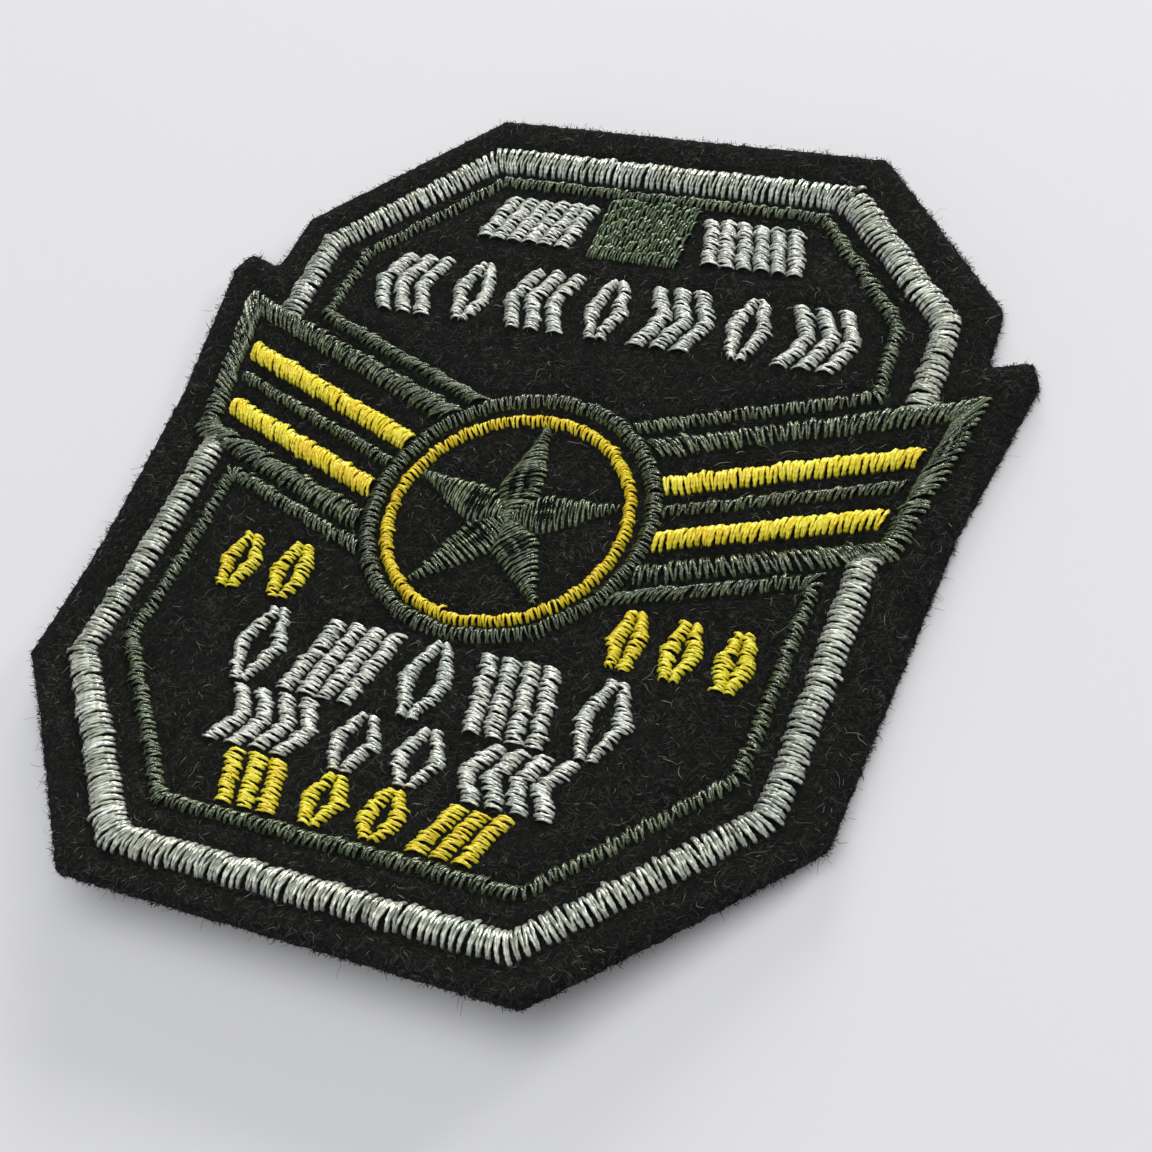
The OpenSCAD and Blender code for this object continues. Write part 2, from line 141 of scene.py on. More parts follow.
def square_cut(p, along, width):
    """A cut square to the band, through point p."""
    across = left_of(along) * width / 2
    return [p + across, p - across]


def cuts_along(path, turn=0.0):
    """Cuts along a path of (x, y, width): mitred at corners, square at a distance turn beside them."""
    points = [np.array(row[:2], float) for row in path]
    widths = [row[2] for row in path]
    runs = [unit(b - a) for a, b in zip(points, points[1:])]
    lengths = [np.linalg.norm(b - a) for a, b in zip(points, points[1:])]
    cuts = []
    for i, (p, width) in enumerate(zip(points, widths)):
        before = runs[max(0, i - 1)]
        after = runs[min(i, len(runs) - 1)]
        bend_highlight = turn and 0 < i < len(runs)
        if bend_highlight:
            wide = mix(width, widths[i - 1], turn / lengths[i - 1])
            cuts.append(square_cut(p - before * turn, before, wide))
        across = left_of(before + after) / (1 + before @ after) * width / 2
        cuts.append([p + across, p - across])
        if bend_highlight:
            wide = mix(width, widths[i + 1], turn / lengths[i])
            cuts.append(square_cut(p + after * turn, after, wide))
    return cuts


def with_ends(cuts, first, last):
    """The same cuts with other ones at both ends."""
    return [first] + cuts[1:-1] + [last]


def mirrored(cut):
    """The same cut on the other half. The path runs the other way there, so left stays left."""
    return [cut[0] * [-1, 1], cut[1] * [-1, 1]]


def both_sides(corners):
    """A symmetric path from its right-hand corners, listed from its right end."""
    return corners + [(-x, y, width) for x, y, width in reversed(corners)]


def on_side(cuts, right):
    """The cuts of a right-hand band, or its mirror image with left and right kept in order."""
    if right:
        return cuts
    return [[cut[1] * [-1, 1], cut[0] * [-1, 1]] for cut in cuts]


print("cuts of a straight band:", len(cuts_along([(0, 0, MM), (MM, 0, MM)])))

# %% [markdown]
# ## Rings, wings and borders
# Two rings frame the star. The olive one sits a little higher than the yellow one, as on the real
# patch. Each wing is an outline that leaves the ring and comes back to it, with two yellow bars and
# a thin line inside. Lines that run into the olive ring end on its curve.

# %% Rings
STAR_R = 10.7 * MM
# The yellow ring is the hoop here: its space round the star, and its width
HOOP_SPACE = 0.4 * MM
HOOP_W = 1.15 * MM
HOOP_IN = STAR_R + HOOP_SPACE
HOOP_OUT = HOOP_IN + HOOP_W
# The olive ring: its space round the hoop, its width, and how far it sits above the star
RING_SPACE = 0.25 * MM
RING_W = 1.6 * MM
RING_LIFT = 0.45 * MM
RING_IN = HOOP_OUT + RING_SPACE + RING_LIFT
RING_OUT = RING_IN + RING_W
RING_AT = np.array([0.0, RING_LIFT])
RING_CUTS = 56
BUTT_GAP = 0.15 * MM


def round_cuts(inner, outer, centre):
    """Cuts round a ring, clockwise, with the first one repeated at the end."""
    angles = [-360 * i / RING_CUTS for i in range(RING_CUTS + 1)]
    return [[centre + at_angle(outer, a), centre + at_angle(inner, a)] for a in angles]


def ring_stop(start, direction):
    """Where a line from outside meets the clearance round the olive ring."""
    m = start - RING_AT
    b = m @ direction
    c = m @ m - (RING_OUT + BUTT_GAP) ** 2
    return start - direction * (b + math.sqrt(b * b - c))


def ring_end(outer, inner, width):
    """The cut that ends a band of some width on the ring, seen from the ring outwards."""
    inwards = unit(inner - outer)
    across = left_of(inwards) * width / 2
    return [ring_stop(outer - across, inwards), ring_stop(outer + across, inwards)]


print("olive ring from", round(RING_IN / MM, 2), "to", round(RING_OUT / MM, 2), "mm")

# %% Wing corners
WING_W = 2.0 * MM
BAR_END_GAP = 0.9 * MM
WING_TIP = placed(0.887, 0.408)
WING_HEEL = placed(0.818, 0.076)
# Angles round the ring at which the wing's head line and foot line leave it
WING_HEAD_ANGLE = 43.5
WING_FOOT_ANGLE = -15.5
WING_HEAD_IN = RING_AT + at_angle(RING_OUT, WING_HEAD_ANGLE)
WING_FOOT_IN = RING_AT + at_angle(RING_OUT, WING_FOOT_ANGLE)


def wing_inner(share):
    """Where a line inside the wing starts at the ring."""
    return mix(WING_HEAD_IN, WING_FOOT_IN, share)


def wing_outer(share):
    """Where it would meet the wing's outer line."""
    return mix(WING_TIP, WING_HEEL, share)


def bar_stop(share, width):
    """The outer end of a bar, cut along the wing's outer line."""
    a = wing_inner(share)
    b = wing_outer(share)
    along = unit(b - a)
    edge = unit(WING_TIP - WING_HEEL)
    back = (WING_W / 2 + BAR_END_GAP) / abs(left_of(edge) @ along)
    slide = edge * (width / 2) / abs(edge @ left_of(along))
    p = b - along * back
    return [p + slide, p - slide]


def wing_line(share, width):
    """The two end cuts of a straight line inside the wing."""
    return [ring_end(wing_outer(share), wing_inner(share), width), bar_stop(share, width)]


print("wing tip", round(WING_TIP[0] / MM, 1), "mm from the middle line")

# %% Heights beside the wings


def line_y(a, b, x):
    """Height of the line through a and b at x."""
    return mix(a[1], b[1], (x - a[0]) / (b[0] - a[0]))


def line_x(a, b, y):
    """Sideways place of the line through a and b at y."""
    return mix(a[0], b[0], (y - a[1]) / (b[1] - a[1]))


def beside(a, b, space):
    """Upright distance that keeps a clear space beside a slanted line."""
    return space * np.linalg.norm(b - a) / abs(b[0] - a[0])


def above_wing(x, space):
    """Height at x of a line that keeps a space above the right wing's outline."""
    return line_y(WING_HEAD_IN, WING_TIP, x) + beside(WING_HEAD_IN, WING_TIP, WING_W / 2 + space)


def below_wing(x, space):
    """Height at x of a line that keeps a space below it."""
    return line_y(WING_FOOT_IN, WING_HEEL, x) - beside(WING_FOOT_IN, WING_HEEL, WING_W / 2 + space)


print("1 mm beside a wing's head line is", round(beside(WING_HEAD_IN, WING_TIP, MM) / MM, 2), "mm up")

# %% Silver border and thin inner lines
BORDER_W = 2.75 * MM
LINE_W = 1.3 * MM
BORDER_X = 0.778 * HALF_W
LINE_HEAD_X = 0.683 * HALF_W
LINE_FOOT_X = 0.695 * HALF_W
# Corners. Columns: shares as in placed, then the share of the full width
BORDER_HEAD = [[0.776, 0.590, 0.95], [0.457, 0.881, 1.22]]
BORDER_FOOT = [[0.780, -0.523, 0.98], [0.430, -0.904, 1.06]]
LINE_HEAD = [[0.670, 0.575, 1.0], [0.412, 0.823, 0.9]]
LINE_FOOT = [[0.695, -0.460, 1.0], [0.397, -0.797, 1.0]]
# How far from a corner the stitches begin to turn
BORDER_TURN = 3.0 * MM
LINE_TURN = 1.2 * MM
# Space between a wing's outline and the thin line of each panel
UPPER_GAP = 1.2 * MM
LOWER_GAP = 0.75 * MM


def corner(row, width):
    """A row of a corner table as (x, y, width)."""
    x, y = placed(row[0], row[1])
    return (x, y, row[2] * width)


def border_cuts(start_y, corners):
    """The border runs in under the wing's outline, so its ends stay square."""
    path = [(BORDER_X, start_y, BORDER_W)] + [corner(row, BORDER_W) for row in corners]
    return cuts_along(both_sides(path), BORDER_TURN)


def inner_cuts(turn, inner, corners):
    """The thin line leaves the ring, turns beside the wing and goes round its panel."""
    path = [(*inner, LINE_W), (*turn, LINE_W)] + [corner(row, LINE_W) for row in corners]
    first = ring_end(turn, inner, LINE_W)
    cuts = cuts_along(both_sides(path), LINE_TURN)
    return with_ends(cuts, first, mirrored(first))


head_turn = np.array([LINE_HEAD_X, above_wing(LINE_HEAD_X, UPPER_GAP + LINE_W / 2)])
foot_turn = np.array([LINE_FOOT_X, below_wing(LINE_FOOT_X, LOWER_GAP + LINE_W / 2)])
head_in = head_turn + WING_HEAD_IN - WING_TIP
foot_in = foot_turn + WING_FOOT_IN - WING_HEEL
print("border", round(2 * BORDER_X / MM, 1), "mm across, on its middle line")

# %% [markdown]
# ## A book of bands
# Every stitched piece stands for one solid of the frame and is made of one band or several. They are
# collected in a table first: the nap and the dimples of the felt have to know where all of them lie.

# %% A book, and ways to stitch
BANDS = {}


def book(node, cuts, height, **ways):
    """Adds a band to a piece. ways say how its threads differ from the usual."""
    array = np.array([[*left, *right] for left, right in cuts], float)
    BANDS.setdefault(node, []).append({"cuts": array, "height": height, **ways})


# pitch: room for a thread along the band. slant: lean of the threads, in degrees. wider: their
# width. ragged: how far some reach out. loose: how uneven they lie. lighter: shift of their tone.
BORDER_WAY = {"tucked": True, "wider": 1.12}
LINE_WAY = {"pitch": 0.33 * MM, "slant": -15.0, "wider": 1.04, "ragged": 0.15 * MM, "loose": 1.4}
WING_WAY = {"wider": 1.04, "ragged": 0.35 * MM, "loose": 1.3}
BAR_WAY = {"pitch": 0.32 * MM, "wider": 1.42, "lighter": 0.24}
# The olive ring's lowered tone is painted shade: it darkens the whole ring as its radial threads lie
# darker in the light.
RING_WAY = {"closed": True, "pitch": 0.31 * MM, "wider": 1.02, "lighter": -0.3}
HOOP_WAY = {"closed": True, "pitch": 0.27 * MM, "wider": 1.08}
ARM_WAY = {"pitch": 0.30 * MM, "wider": 0.92, "loose": 0.0, "lighter": 0.20}
MARK_WAY = {"pitch": 0.25 * MM, "wider": 1.22, "ragged": 0.26 * MM, "loose": 1.6, "lighter": 0.52}
print("threads of the marks are", MARK_WAY["wider"], "times as wide as usual")

# %% Book the lines, bars and rings
BORDER_H = 0.9 * MM
LINE_H = 0.5 * MM
RING_H = 0.6 * MM
HOOP_H = 0.65 * MM
book("silver_border_upper", border_cuts(line_y(WING_HEAD_IN, WING_TIP, BORDER_X), BORDER_HEAD),
     BORDER_H, **BORDER_WAY)
book("silver_border_lower", border_cuts(line_y(WING_FOOT_IN, WING_HEEL, BORDER_X), BORDER_FOOT),
     BORDER_H, **BORDER_WAY)
book("inner_line_upper", inner_cuts(head_turn, head_in, LINE_HEAD), LINE_H, **LINE_WAY)
book("inner_line_lower", inner_cuts(foot_turn, foot_in, LINE_FOOT), LINE_H, **LINE_WAY)
book("olive_ring", round_cuts(RING_IN, RING_OUT, RING_AT), RING_H, **RING_WAY)
book("yellow_ring", round_cuts(HOOP_IN, HOOP_OUT, np.zeros(2)), HOOP_H, **HOOP_WAY)
print("pieces so far:", len(BANDS))

# %% Book the wings
WING_H = 0.65 * MM
WING_SLANT = 20.0
# Where the lines inside a wing run, as shares of the way from its head line to its foot line
MID_AT = 0.528
BARS_AT = {"upper": 0.327, "lower": 0.760}
MID_W = 1.1 * MM
BAR_W = 2.0 * MM
BAR_H = 0.8 * MM
wing_path = [(*p, WING_W) for p in (WING_HEAD_IN, WING_TIP, WING_HEEL, WING_FOOT_IN)]
wing_first = ring_end(WING_TIP, WING_HEAD_IN, WING_W)
wing_last = ring_end(WING_HEEL, WING_FOOT_IN, WING_W)[::-1]
wing_cuts = with_ends(cuts_along(wing_path), wing_first, wing_last)
for side in ("left", "right"):
    right = side == "right"
    lean = WING_SLANT if right else -WING_SLANT
    book(f"wing_outline_{side}", on_side(wing_cuts, right), WING_H, slant=lean, **WING_WAY)
    book(f"wing_mid_line_{side}", on_side(wing_line(MID_AT, MID_W), right), LINE_H, **LINE_WAY)
    for part, share in BARS_AT.items():
        book(f"yellow_bar_{part}_{side}", on_side(wing_line(share, BAR_W), right), BAR_H, **BAR_WAY)
print("pieces with the wings:", len(BANDS))

# %% [markdown]
# ## The star
# The star is five arms, each a band of its own that narrows to its tip, stitched square to the arm.
# So light falls on each arm in another way, which is what makes the star readable in one dark colour.

# %% Shape of a star arm
# Half the angle of a fifth of the star
HALF_FIFTH = math.radians(36)
# Valleys between the arms and the arms' first cut, as shares of the tips' radius
VALLEY_Y = 0.365 * STAR_R * math.cos(HALF_FIFTH)
HEART_Y = 0.08 * STAR_R
STAR_SEAM = 0.12 * MM
STAR_TIP_W = 0.35 * MM
# Where the sides of an arm are fullest between valley and tip, and how much wider it is there
FULL_AT = 0.4
FULL_SIDES = 1.12


def wedge_w(y):
    """Width of a fifth of the star at some height above its centre, less the seam."""
    return 2 * y * math.tan(HALF_FIFTH) - STAR_SEAM / math.cos(HALF_FIFTH)


def level(x, y, width):
    """A level cut round its middle."""
    return [np.array([x - width / 2, y]), np.array([x + width / 2, y])]


def turned(cut, degrees):
    """A cut turned round the star's centre."""
    c, s = at_angle(1.0, degrees)
    return [np.array([c * p[0] - s * p[1], s * p[0] + c * p[1]]) for p in cut]


def star_arm(start):
    """An arm that points up, begun just short of or past the centre, with slightly full sides."""
    full_y = mix(VALLEY_Y, STAR_R, FULL_AT)
    full_w = FULL_SIDES * mix(wedge_w(VALLEY_Y), STAR_TIP_W, FULL_AT)
    return [level(0, start, wedge_w(HEART_Y)), level(0, VALLEY_Y, wedge_w(VALLEY_Y)),
            level(0, full_y, full_w), level(0, STAR_R, STAR_TIP_W)]


print("widest cut of a star arm:", round(wedge_w(VALLEY_Y) / MM, 2), "mm")

# %% Book the star arms
# Columns: turn of the arm, where it starts above the centre, slant of its threads
STAR_ARMS = {
    "top": (0, -0.5 * MM, 26.0),
    "upper_left": (72, 0.2 * MM, 14.0),
    "lower_left": (144, -0.4 * MM, 6.0),
    "lower_right": (216, 0.3 * MM, 12.0),
    "upper_right": (288, -0.1 * MM, -6.0),
}
# Height of the first arm, and how much lower each next one lies, both in millimetres
STAR_H = 0.70
ARM_STEP = 0.03
for i, (name, (degrees, start, slant)) in enumerate(STAR_ARMS.items()):
    cuts = [turned(cut, degrees) for cut in star_arm(start)]
    book(f"star_arm_{name}", cuts, (STAR_H - ARM_STEP * i) * MM, slant=slant, **ARM_WAY)
print("pieces with the star:", len(BANDS))

# %% [markdown]
# ## Rows of ornament
# Slanted bars, chevrons and lozenges fill the rows. Each stroke of them is a short upright band whose
# threads lie level. A group has a form, a number of strokes and a share of its row's width.

# %% Forms of the marks
MARK_W = 1.5 * MM
MARK_H = 0.65 * MM
# How far a slanted stroke swings sideways, and the space between two groups
SWING = 1.7 * MM
GROUP_GAP = 1.3 * MM
# Width of a lozenge's stroke at its tips, as a share of its middle
LOZENGE_END = 0.5
# Forms: where a stroke's middle lies at its foot, half-way up and at its head
BARS_UP = [-1, 0, 1]
BARS_DOWN = [1, 0, -1]
POINT_LEFT = [1, -1, 1]
POINT_RIGHT = [-1, 1, -1]
LOZENGE = [0, 0, 0]


def stroke(node, xs, ys, end_w, middle_w):
    """One upright mark, by its middle at foot, middle and head."""
    heights = [ys[0], (ys[0] + ys[1]) / 2, ys[1]]
    widths = [end_w, middle_w, end_w]
    cuts = [level(x, y, width) for x, y, width in zip(xs, heights, widths)]
    book(node, cuts, MARK_H, **MARK_WAY)


def group(node, form, count, start, stop, ys):
    """The strokes of a group, side by side, or the two bent ones of a lozenge."""
    if form == LOZENGE:
        middle = (start + stop) / 2
        tip = (LOZENGE_END * MARK_W + BUTT_GAP) / 2
        wide = (stop - start - MARK_W) / 2
        for side in (-1, 1):
            xs = [middle + side * tip, middle + side * wide, middle + side * tip]
            stroke(node, xs, ys, LOZENGE_END * MARK_W, MARK_W)
        return
    first = start + (MARK_W + SWING) / 2
    last = stop - (MARK_W + SWING) / 2
    for i in range(count):
        x = mix(first, last, i / (count - 1))
        stroke(node, [x + f * SWING / 2 for f in form], ys, MARK_W, MARK_W)


def row(node, groups, start, stop, ys):
    """Groups side by side, which share out the room between them."""
    room = stop - start - (len(groups) - 1) * GROUP_GAP
    share_w = room / sum(share for form, count, share in groups)
    x = start
    for form, count, share in groups:
        group(node, form, count, x, x + share * share_w, ys)
        x += share * share_w + GROUP_GAP


print("a slanted stroke takes", round((MARK_W + SWING) / MM, 1), "mm of its row")

# %% Room for the rows in the two panels
ROW_GAP = 0.5 * MM
# Rows of the lower panel. Columns: share of the height, share of the panel's width
LOWER_ROWS = [(0.420, 0.71), (0.310, 0.77), (0.270, 0.80)]
HEAD_TOP = placed(*LINE_HEAD[1][:2])[1] - LINE_HEAD[1][2] * LINE_W / 2
HEAD_ROOM = HEAD_TOP - (RING_LIFT + RING_OUT)
FOOT_TOP = RING_LIFT - RING_OUT
FOOT_ROOM = FOOT_TOP - (placed(*LINE_FOOT[1][:2])[1] + LINE_W / 2) - (len(LOWER_ROWS) + 1) * ROW_GAP


def clear_half(line, side_x, y):
    """Half the clear width inside a panel's thin line at some height."""
    b, a = (placed(*row[:2]) for row in line)
    slanted = line_x(a, b, y) - LINE_W / 2 * np.linalg.norm(b - a) / abs(b[1] - a[1])
    return min(slanted, side_x - LINE_W / 2)


def head_row(down, tall):
    """Foot and head of a row of the upper panel, from its shares of the room there."""
    top = HEAD_TOP - down * HEAD_ROOM
    return [top - tall * HEAD_ROOM, top]


def foot_row(i):
    """Foot and head of a row of the lower panel, counted from the top."""
    used = sum(share for share, reach in LOWER_ROWS[:i])
    top = FOOT_TOP - (i + 1) * ROW_GAP - used * FOOT_ROOM
    return [top - LOWER_ROWS[i][0] * FOOT_ROOM, top]


print("height for rows, in mm:", round(HEAD_ROOM / MM, 1), "above and", round(FOOT_ROOM / MM, 1), "below")

# %% Book the rows of the upper panel
BLOCK_W = 9.8 * MM
BLOCK_L = 0.308 * HEAD_ROOM
# Rows of the upper panel. Columns: share of the room above the row, and of its height
TOP_ROW = (0.062, 0.225)
UPPER_ROW = (0.428, 0.290)
# How much of the clear half width each row fills, and the block's space beside it
TOP_REACH = 0.950
UPPER_REACH = 0.955
BLOCK_SPACE = 0.09
top_ys = head_row(*TOP_ROW)
top_from = BLOCK_W * (0.5 + BLOCK_SPACE)
top_to = TOP_REACH * clear_half(LINE_HEAD, LINE_HEAD_X, top_ys[1])
row("row_top_left", [(BARS_UP, 6, 1)], -top_to, -top_from, top_ys)
row("row_top_right", [(BARS_DOWN, 6, 1)], top_from, top_to, top_ys)
upper_ys = head_row(*UPPER_ROW)
upper_reach = UPPER_REACH * clear_half(LINE_HEAD, LINE_HEAD_X, upper_ys[1])
pair = (LOZENGE, 2, 1)
points_left = (POINT_LEFT, 3, 1.7)
points_right = (POINT_RIGHT, 3, 1.7)
row("row_upper", [points_left, pair, points_left, pair, points_right, pair, points_right],
    -upper_reach, upper_reach, upper_ys)
print("pieces with the upper rows:", len(BANDS))

# %% Book the rows of the lower panel
SIDE_Y = -0.226 * FOOT_L
SIDE_HALF_L = 3.1 * MM
side_ys = [SIDE_Y - SIDE_HALF_L, SIDE_Y + SIDE_HALF_L]
side_in = math.sqrt(RING_OUT**2 - (side_ys[1] - RING_LIFT) ** 2)
side_out = LINE_FOOT_X - LINE_W / 2
# Where the side rows start and stop, as shares of the way from the ring out to the thin line
LEFT_SIDE = (0.80, 0.22)
RIGHT_SIDE = (0.11, 0.91)
row("row_side_left", [pair] * 2, *(-mix(side_in, side_out, s) for s in LEFT_SIDE), side_ys)
row("row_side_right", [pair] * 3, *(mix(side_in, side_out, s) for s in RIGHT_SIDE), side_ys)
PANEL_ROWS = {
    "row_middle": [pair, (BARS_UP, 4, 1.8), pair, (BARS_DOWN, 4, 1.8), pair],
    "row_lower": [(POINT_RIGHT, 4, 2), pair, pair, (POINT_LEFT, 4, 2)],
    "row_foot": [(BARS_DOWN, 3, 1.7), pair, pair, (BARS_UP, 3, 1.7)],
}
for i, (node, groups) in enumerate(PANEL_ROWS.items()):
    ys = foot_row(i)
    reach = LOWER_ROWS[i][1] * clear_half(LINE_FOOT, LINE_FOOT_X, ys[0])
    row(node, groups, -reach, reach, ys)
print("bands booked:", sum(len(bands) for bands in BANDS.values()))

# %% [markdown]
# ## One thread
# A stitch comes up through a hole at one rail, bridges the band in a low arch, and goes down at the
# other rail. A curve object with a bevel could draw that, but thousands of them are slow, so numpy
# works out all threads of a piece at once: a path of a few points for each, and a six-sided flat
# tube round it. The rise at each end is a quarter of an ellipse, which gives the bright round tips
# of real satin. Two threads share each hole, and lie side by side there.

# %% Sizes of thread and stitch
PITCH = 0.36 * MM
THREAD_HALF_W = 0.184 * MM
THREAD_HALF_T = 0.135 * MM
# Turns on itself in a metre of thread
TWIST = 0.45 / MM
# How far a thread takes to rise, at most, in metres and as a share of its length
RISE = 0.85 * MM
MOST_RISE = 0.44
# Depth of its ends in the felt, and half the space between two threads that share a hole
DIP = 0.30 * MM
HOLE_SIDE = 0.055 * MM
SIDES = 6
RISE_STEPS = 4
print("stitches in a centimetre of border:", round(10 * MM / PITCH))

# %% How unevenly threads lie
# Holes along the band, as a share of the step between two of them, and holes beside the rail
HOLE_UNEVEN = 0.21
RAIL_UNEVEN = 0.08 * MM
# Share of the holes that stray, and by how much
STRAY_SHARE = 0.06
STRAY = 0.20 * MM
# Slow sideways drift of a whole band, and the lengths of its waves in millimetres
DRIFT = 0.10 * MM
DRIFT_WAVES = (1.7, 3.1, 6.5)


def wander(count, rng, step, reach):
    """Slow sideways drift along a band: a few waves of random length and start."""
    s = np.arange(count) * step
    total = np.zeros(count)
    for wave in DRIFT_WAVES:
        length = wave * MM * rng.uniform(0.8, 1.25)
        total += np.sin(2 * math.pi * (s / length + rng.uniform()))
    return total * reach / len(DRIFT_WAVES)


print("a band drifts sideways by up to", DRIFT / MM, "mm")

# %% Lay the threads of a band


def along_band(cuts):
    """How far along the middle of a band each of its cuts lies."""
    return distances((cuts[:, :2] + cuts[:, 2:]) / 2)


def rail_places(cuts, s, along):
    """Left and right rail points at distances s along the middle of a band."""
    return np.stack([np.interp(s, along, cuts[:, i]) for i in range(4)], axis=1)


def leant(cuts, s, along, slant):
    """How far ahead a thread's right end lies of its middle, where threads are laid at a slant."""
    widths = np.linalg.norm(cuts[:, 2:] - cuts[:, :2], axis=1)
    return math.tan(math.radians(slant)) * np.interp(s, along, widths) / 2


def holes(band, rng):
    """Its cuts' distances, the step between holes, and each hole's place and reach past its rail."""
    along = along_band(band["cuts"])
    count = 2 * max(2, round(along[-1] / band.get("pitch", PITCH) / 2)) + 1
    s = np.linspace(0.0, along[-1], count)
    loose = 0.4 + 0.6 * band.get("loose", 1.0)
    jitter = rng.normal(0.0, HOLE_UNEVEN * s[1] * loose, count)
    out = rng.normal(0.0, RAIL_UNEVEN, count) + (rng.random(count) < STRAY_SHARE) * STRAY
    out = out + band.get("ragged", 0.0) * rng.random(count) ** 2
    if band.get("closed"):
        jitter[-1] = jitter[0]
        out[-1] = out[0]
    return along, s[1], np.clip(s + jitter, 0.0, along[-1]), out


def lay_zigzag(band, rng):
    """The two ends of every thread of a band, each thread's share along it, and its length."""
    cuts = band["cuts"]
    along, step, s, out = holes(band, rng)
    number = np.arange(len(s) - 1)
    even = number % 2 == 0
    at_left = np.where(even, number, number + 1)
    at_right = np.where(even, number + 1, number)
    beside_hole = HOLE_SIDE * np.where(even, 1.0, -1.0)
    slant = band.get("slant", 0.0)
    s_left = s[at_left] + beside_hole - leant(cuts, s[at_left], along, slant)
    s_right = s[at_right] - beside_hole + leant(cuts, s[at_right], along, slant)
    left = rail_places(cuts, np.clip(s_left, 0, along[-1]), along)[:, :2]
    right = rail_places(cuts, np.clip(s_right, 0, along[-1]), along)[:, 2:]
    reach = units(right - left)
    drift = wander(len(number), rng, step, DRIFT * band.get("loose", 1.0))[:, None] * reach
    left = left - reach * out[at_left][:, None] + drift
    right = right + reach * out[at_right][:, None] + drift
    return left, right, s[at_left] / along[-1], along[-1]


print("round the yellow ring, in mm:", round(along_band(BANDS["yellow_ring"][0]["cuts"])[-1] / MM, 1))

# %% From thread ends to thread paths
# Sideways bow of a thread, and the height of its arch at the ends as a share of its crown
BOW = 0.07 * MM
SHOULDER = 0.52


def thread_paths(left, right, crown, rng):
    """Points along each thread: up out of the felt, over the crown, and down into the felt again."""
    length = np.linalg.norm(right - left, axis=1)
    ahead = (right - left) / length[:, None]
    sideways = left_of(ahead)
    rise = np.minimum(MOST_RISE * length, RISE)
    angles = np.linspace(0.0, math.pi / 2, RISE_STEPS)
    climb = rise[:, None] * (1 - np.cos(angles))
    x = np.concatenate([climb, length[:, None] / 2, length[:, None] - climb[:, ::-1]], axis=1)
    lift = np.concatenate([np.sin(angles), [1.0], np.sin(angles)[::-1]])
    share = x / length[:, None]
    arch = np.sin(math.pi * share)
    bow = rng.normal(0.0, BOW, len(left))[:, None] * arch
    plan = left[:, None] + x[..., None] * ahead[:, None] + bow[..., None] * sideways[:, None]
    top = crown[:, None] * mix(SHOULDER, 1.0, arch)
    z = face_z(plan[..., 1]) - DIP + (top + DIP) * lift
    return np.concatenate([plan, z[..., None]], axis=2), sideways, share


print("points along a thread:", 2 * RISE_STEPS + 1)

# %% From paths to one mesh


def tubes(path, sideways, half_w, half_t, rng):
    """Closed flat tubes round many paths, twisted like spun thread, with what their gloss needs."""
    threads, stops, _ = path.shape
    tangent = units(np.gradient(path, axis=1))
    side = np.zeros_like(path)
    side[..., :2] = sideways[:, None]
    up = units(np.cross(tangent, side))
    run = np.linalg.norm(np.diff(path, axis=1), axis=2)
    run = np.concatenate([np.zeros((threads, 1)), np.cumsum(run, axis=1)], axis=1)
    spin = (rng.uniform(0.0, 2 * math.pi, (threads, 1)) + 2 * math.pi * TWIST * run)[..., None]
    wide = np.cos(spin) * side + np.sin(spin) * up
    thin = np.cos(spin) * up - np.sin(spin) * side
    turn = 2 * math.pi * np.arange(SIDES) / SIDES
    ring = (path[:, :, None]
            + wide[:, :, None] * (half_w[..., None] * np.cos(turn))[..., None]
            + thin[:, :, None] * (half_t[..., None] * np.sin(turn))[..., None])
    first = (np.arange(threads)[:, None, None] * stops + np.arange(stops - 1)[None, :, None]) * SIDES
    k = np.arange(SIDES)
    after = (k + 1) % SIDES
    quads = np.stack([first + k, first + after, first + SIDES + after, first + SIDES + k], axis=-1)
    start = np.arange(threads)[:, None] * stops * SIDES
    caps = np.concatenate([start + k[::-1], start + (stops - 1) * SIDES + k])
    runs = np.repeat(tangent[:, :, None], SIDES, axis=2)
    spots = np.zeros_like(runs)
    spots[..., 0] = np.cos(turn)
    spots[..., 1] = np.sin(turn)
    spots[..., 2] = run[..., None] / MM
    vectors = {"thread_run": runs.reshape(-1, 3), "thread_spot": spots.reshape(-1, 3)}
    return ring.reshape(-1, 3), quads.reshape(-1, 4), caps, vectors


def mesh_piece(name, verts, faces, floats=None, vectors=None):
    """A smooth mesh object moved from the plan to the frame, with named point values and vectors."""
    mesh = bpy.data.meshes.new(name)
    moved = verts + [0.0, STAR_Y, 0.0]
    mesh.from_pydata(moved.tolist(), [], faces)
    mesh.shade_smooth()
    for kind, field, table in (("FLOAT", "value", floats), ("FLOAT_VECTOR", "vector", vectors)):
        for key, values in (table or {}).items():
            attribute = mesh.attributes.new(key, kind, "POINT")
            attribute.data.foreach_set(field, np.asarray(values, np.float32).ravel())
    piece = bpy.data.objects.new(name, mesh)
    bpy.context.scene.collection.objects.link(piece)
    return piece


def triangles(piece):
    """How many triangles a piece has."""
    return sum(len(face.vertices) - 2 for face in piece.data.polygons)


print("triangles in a thread:", 2 * (2 * RISE_STEPS * SIDES + SIDES - 2))

# %% Sew one band
SEED = 20261127
# How a band sinks at its ends: over which distance, and to which share of its height
PLAIN_END = (0.8 * MM, 0.70)
TUCKED_END = (2.2 * MM, 0.25)
CROWN_UNEVEN = 0.06 * MM
# How much of a thread's tone it shares with its neighbour
PAIR_TONE = 0.6
# How much thinner a closer stitch makes its thread, and how much threads and their tips differ
THINNER = 1.1
THREAD_SIZES = (0.86, 1.10)
TIP_SIZE = 0.78


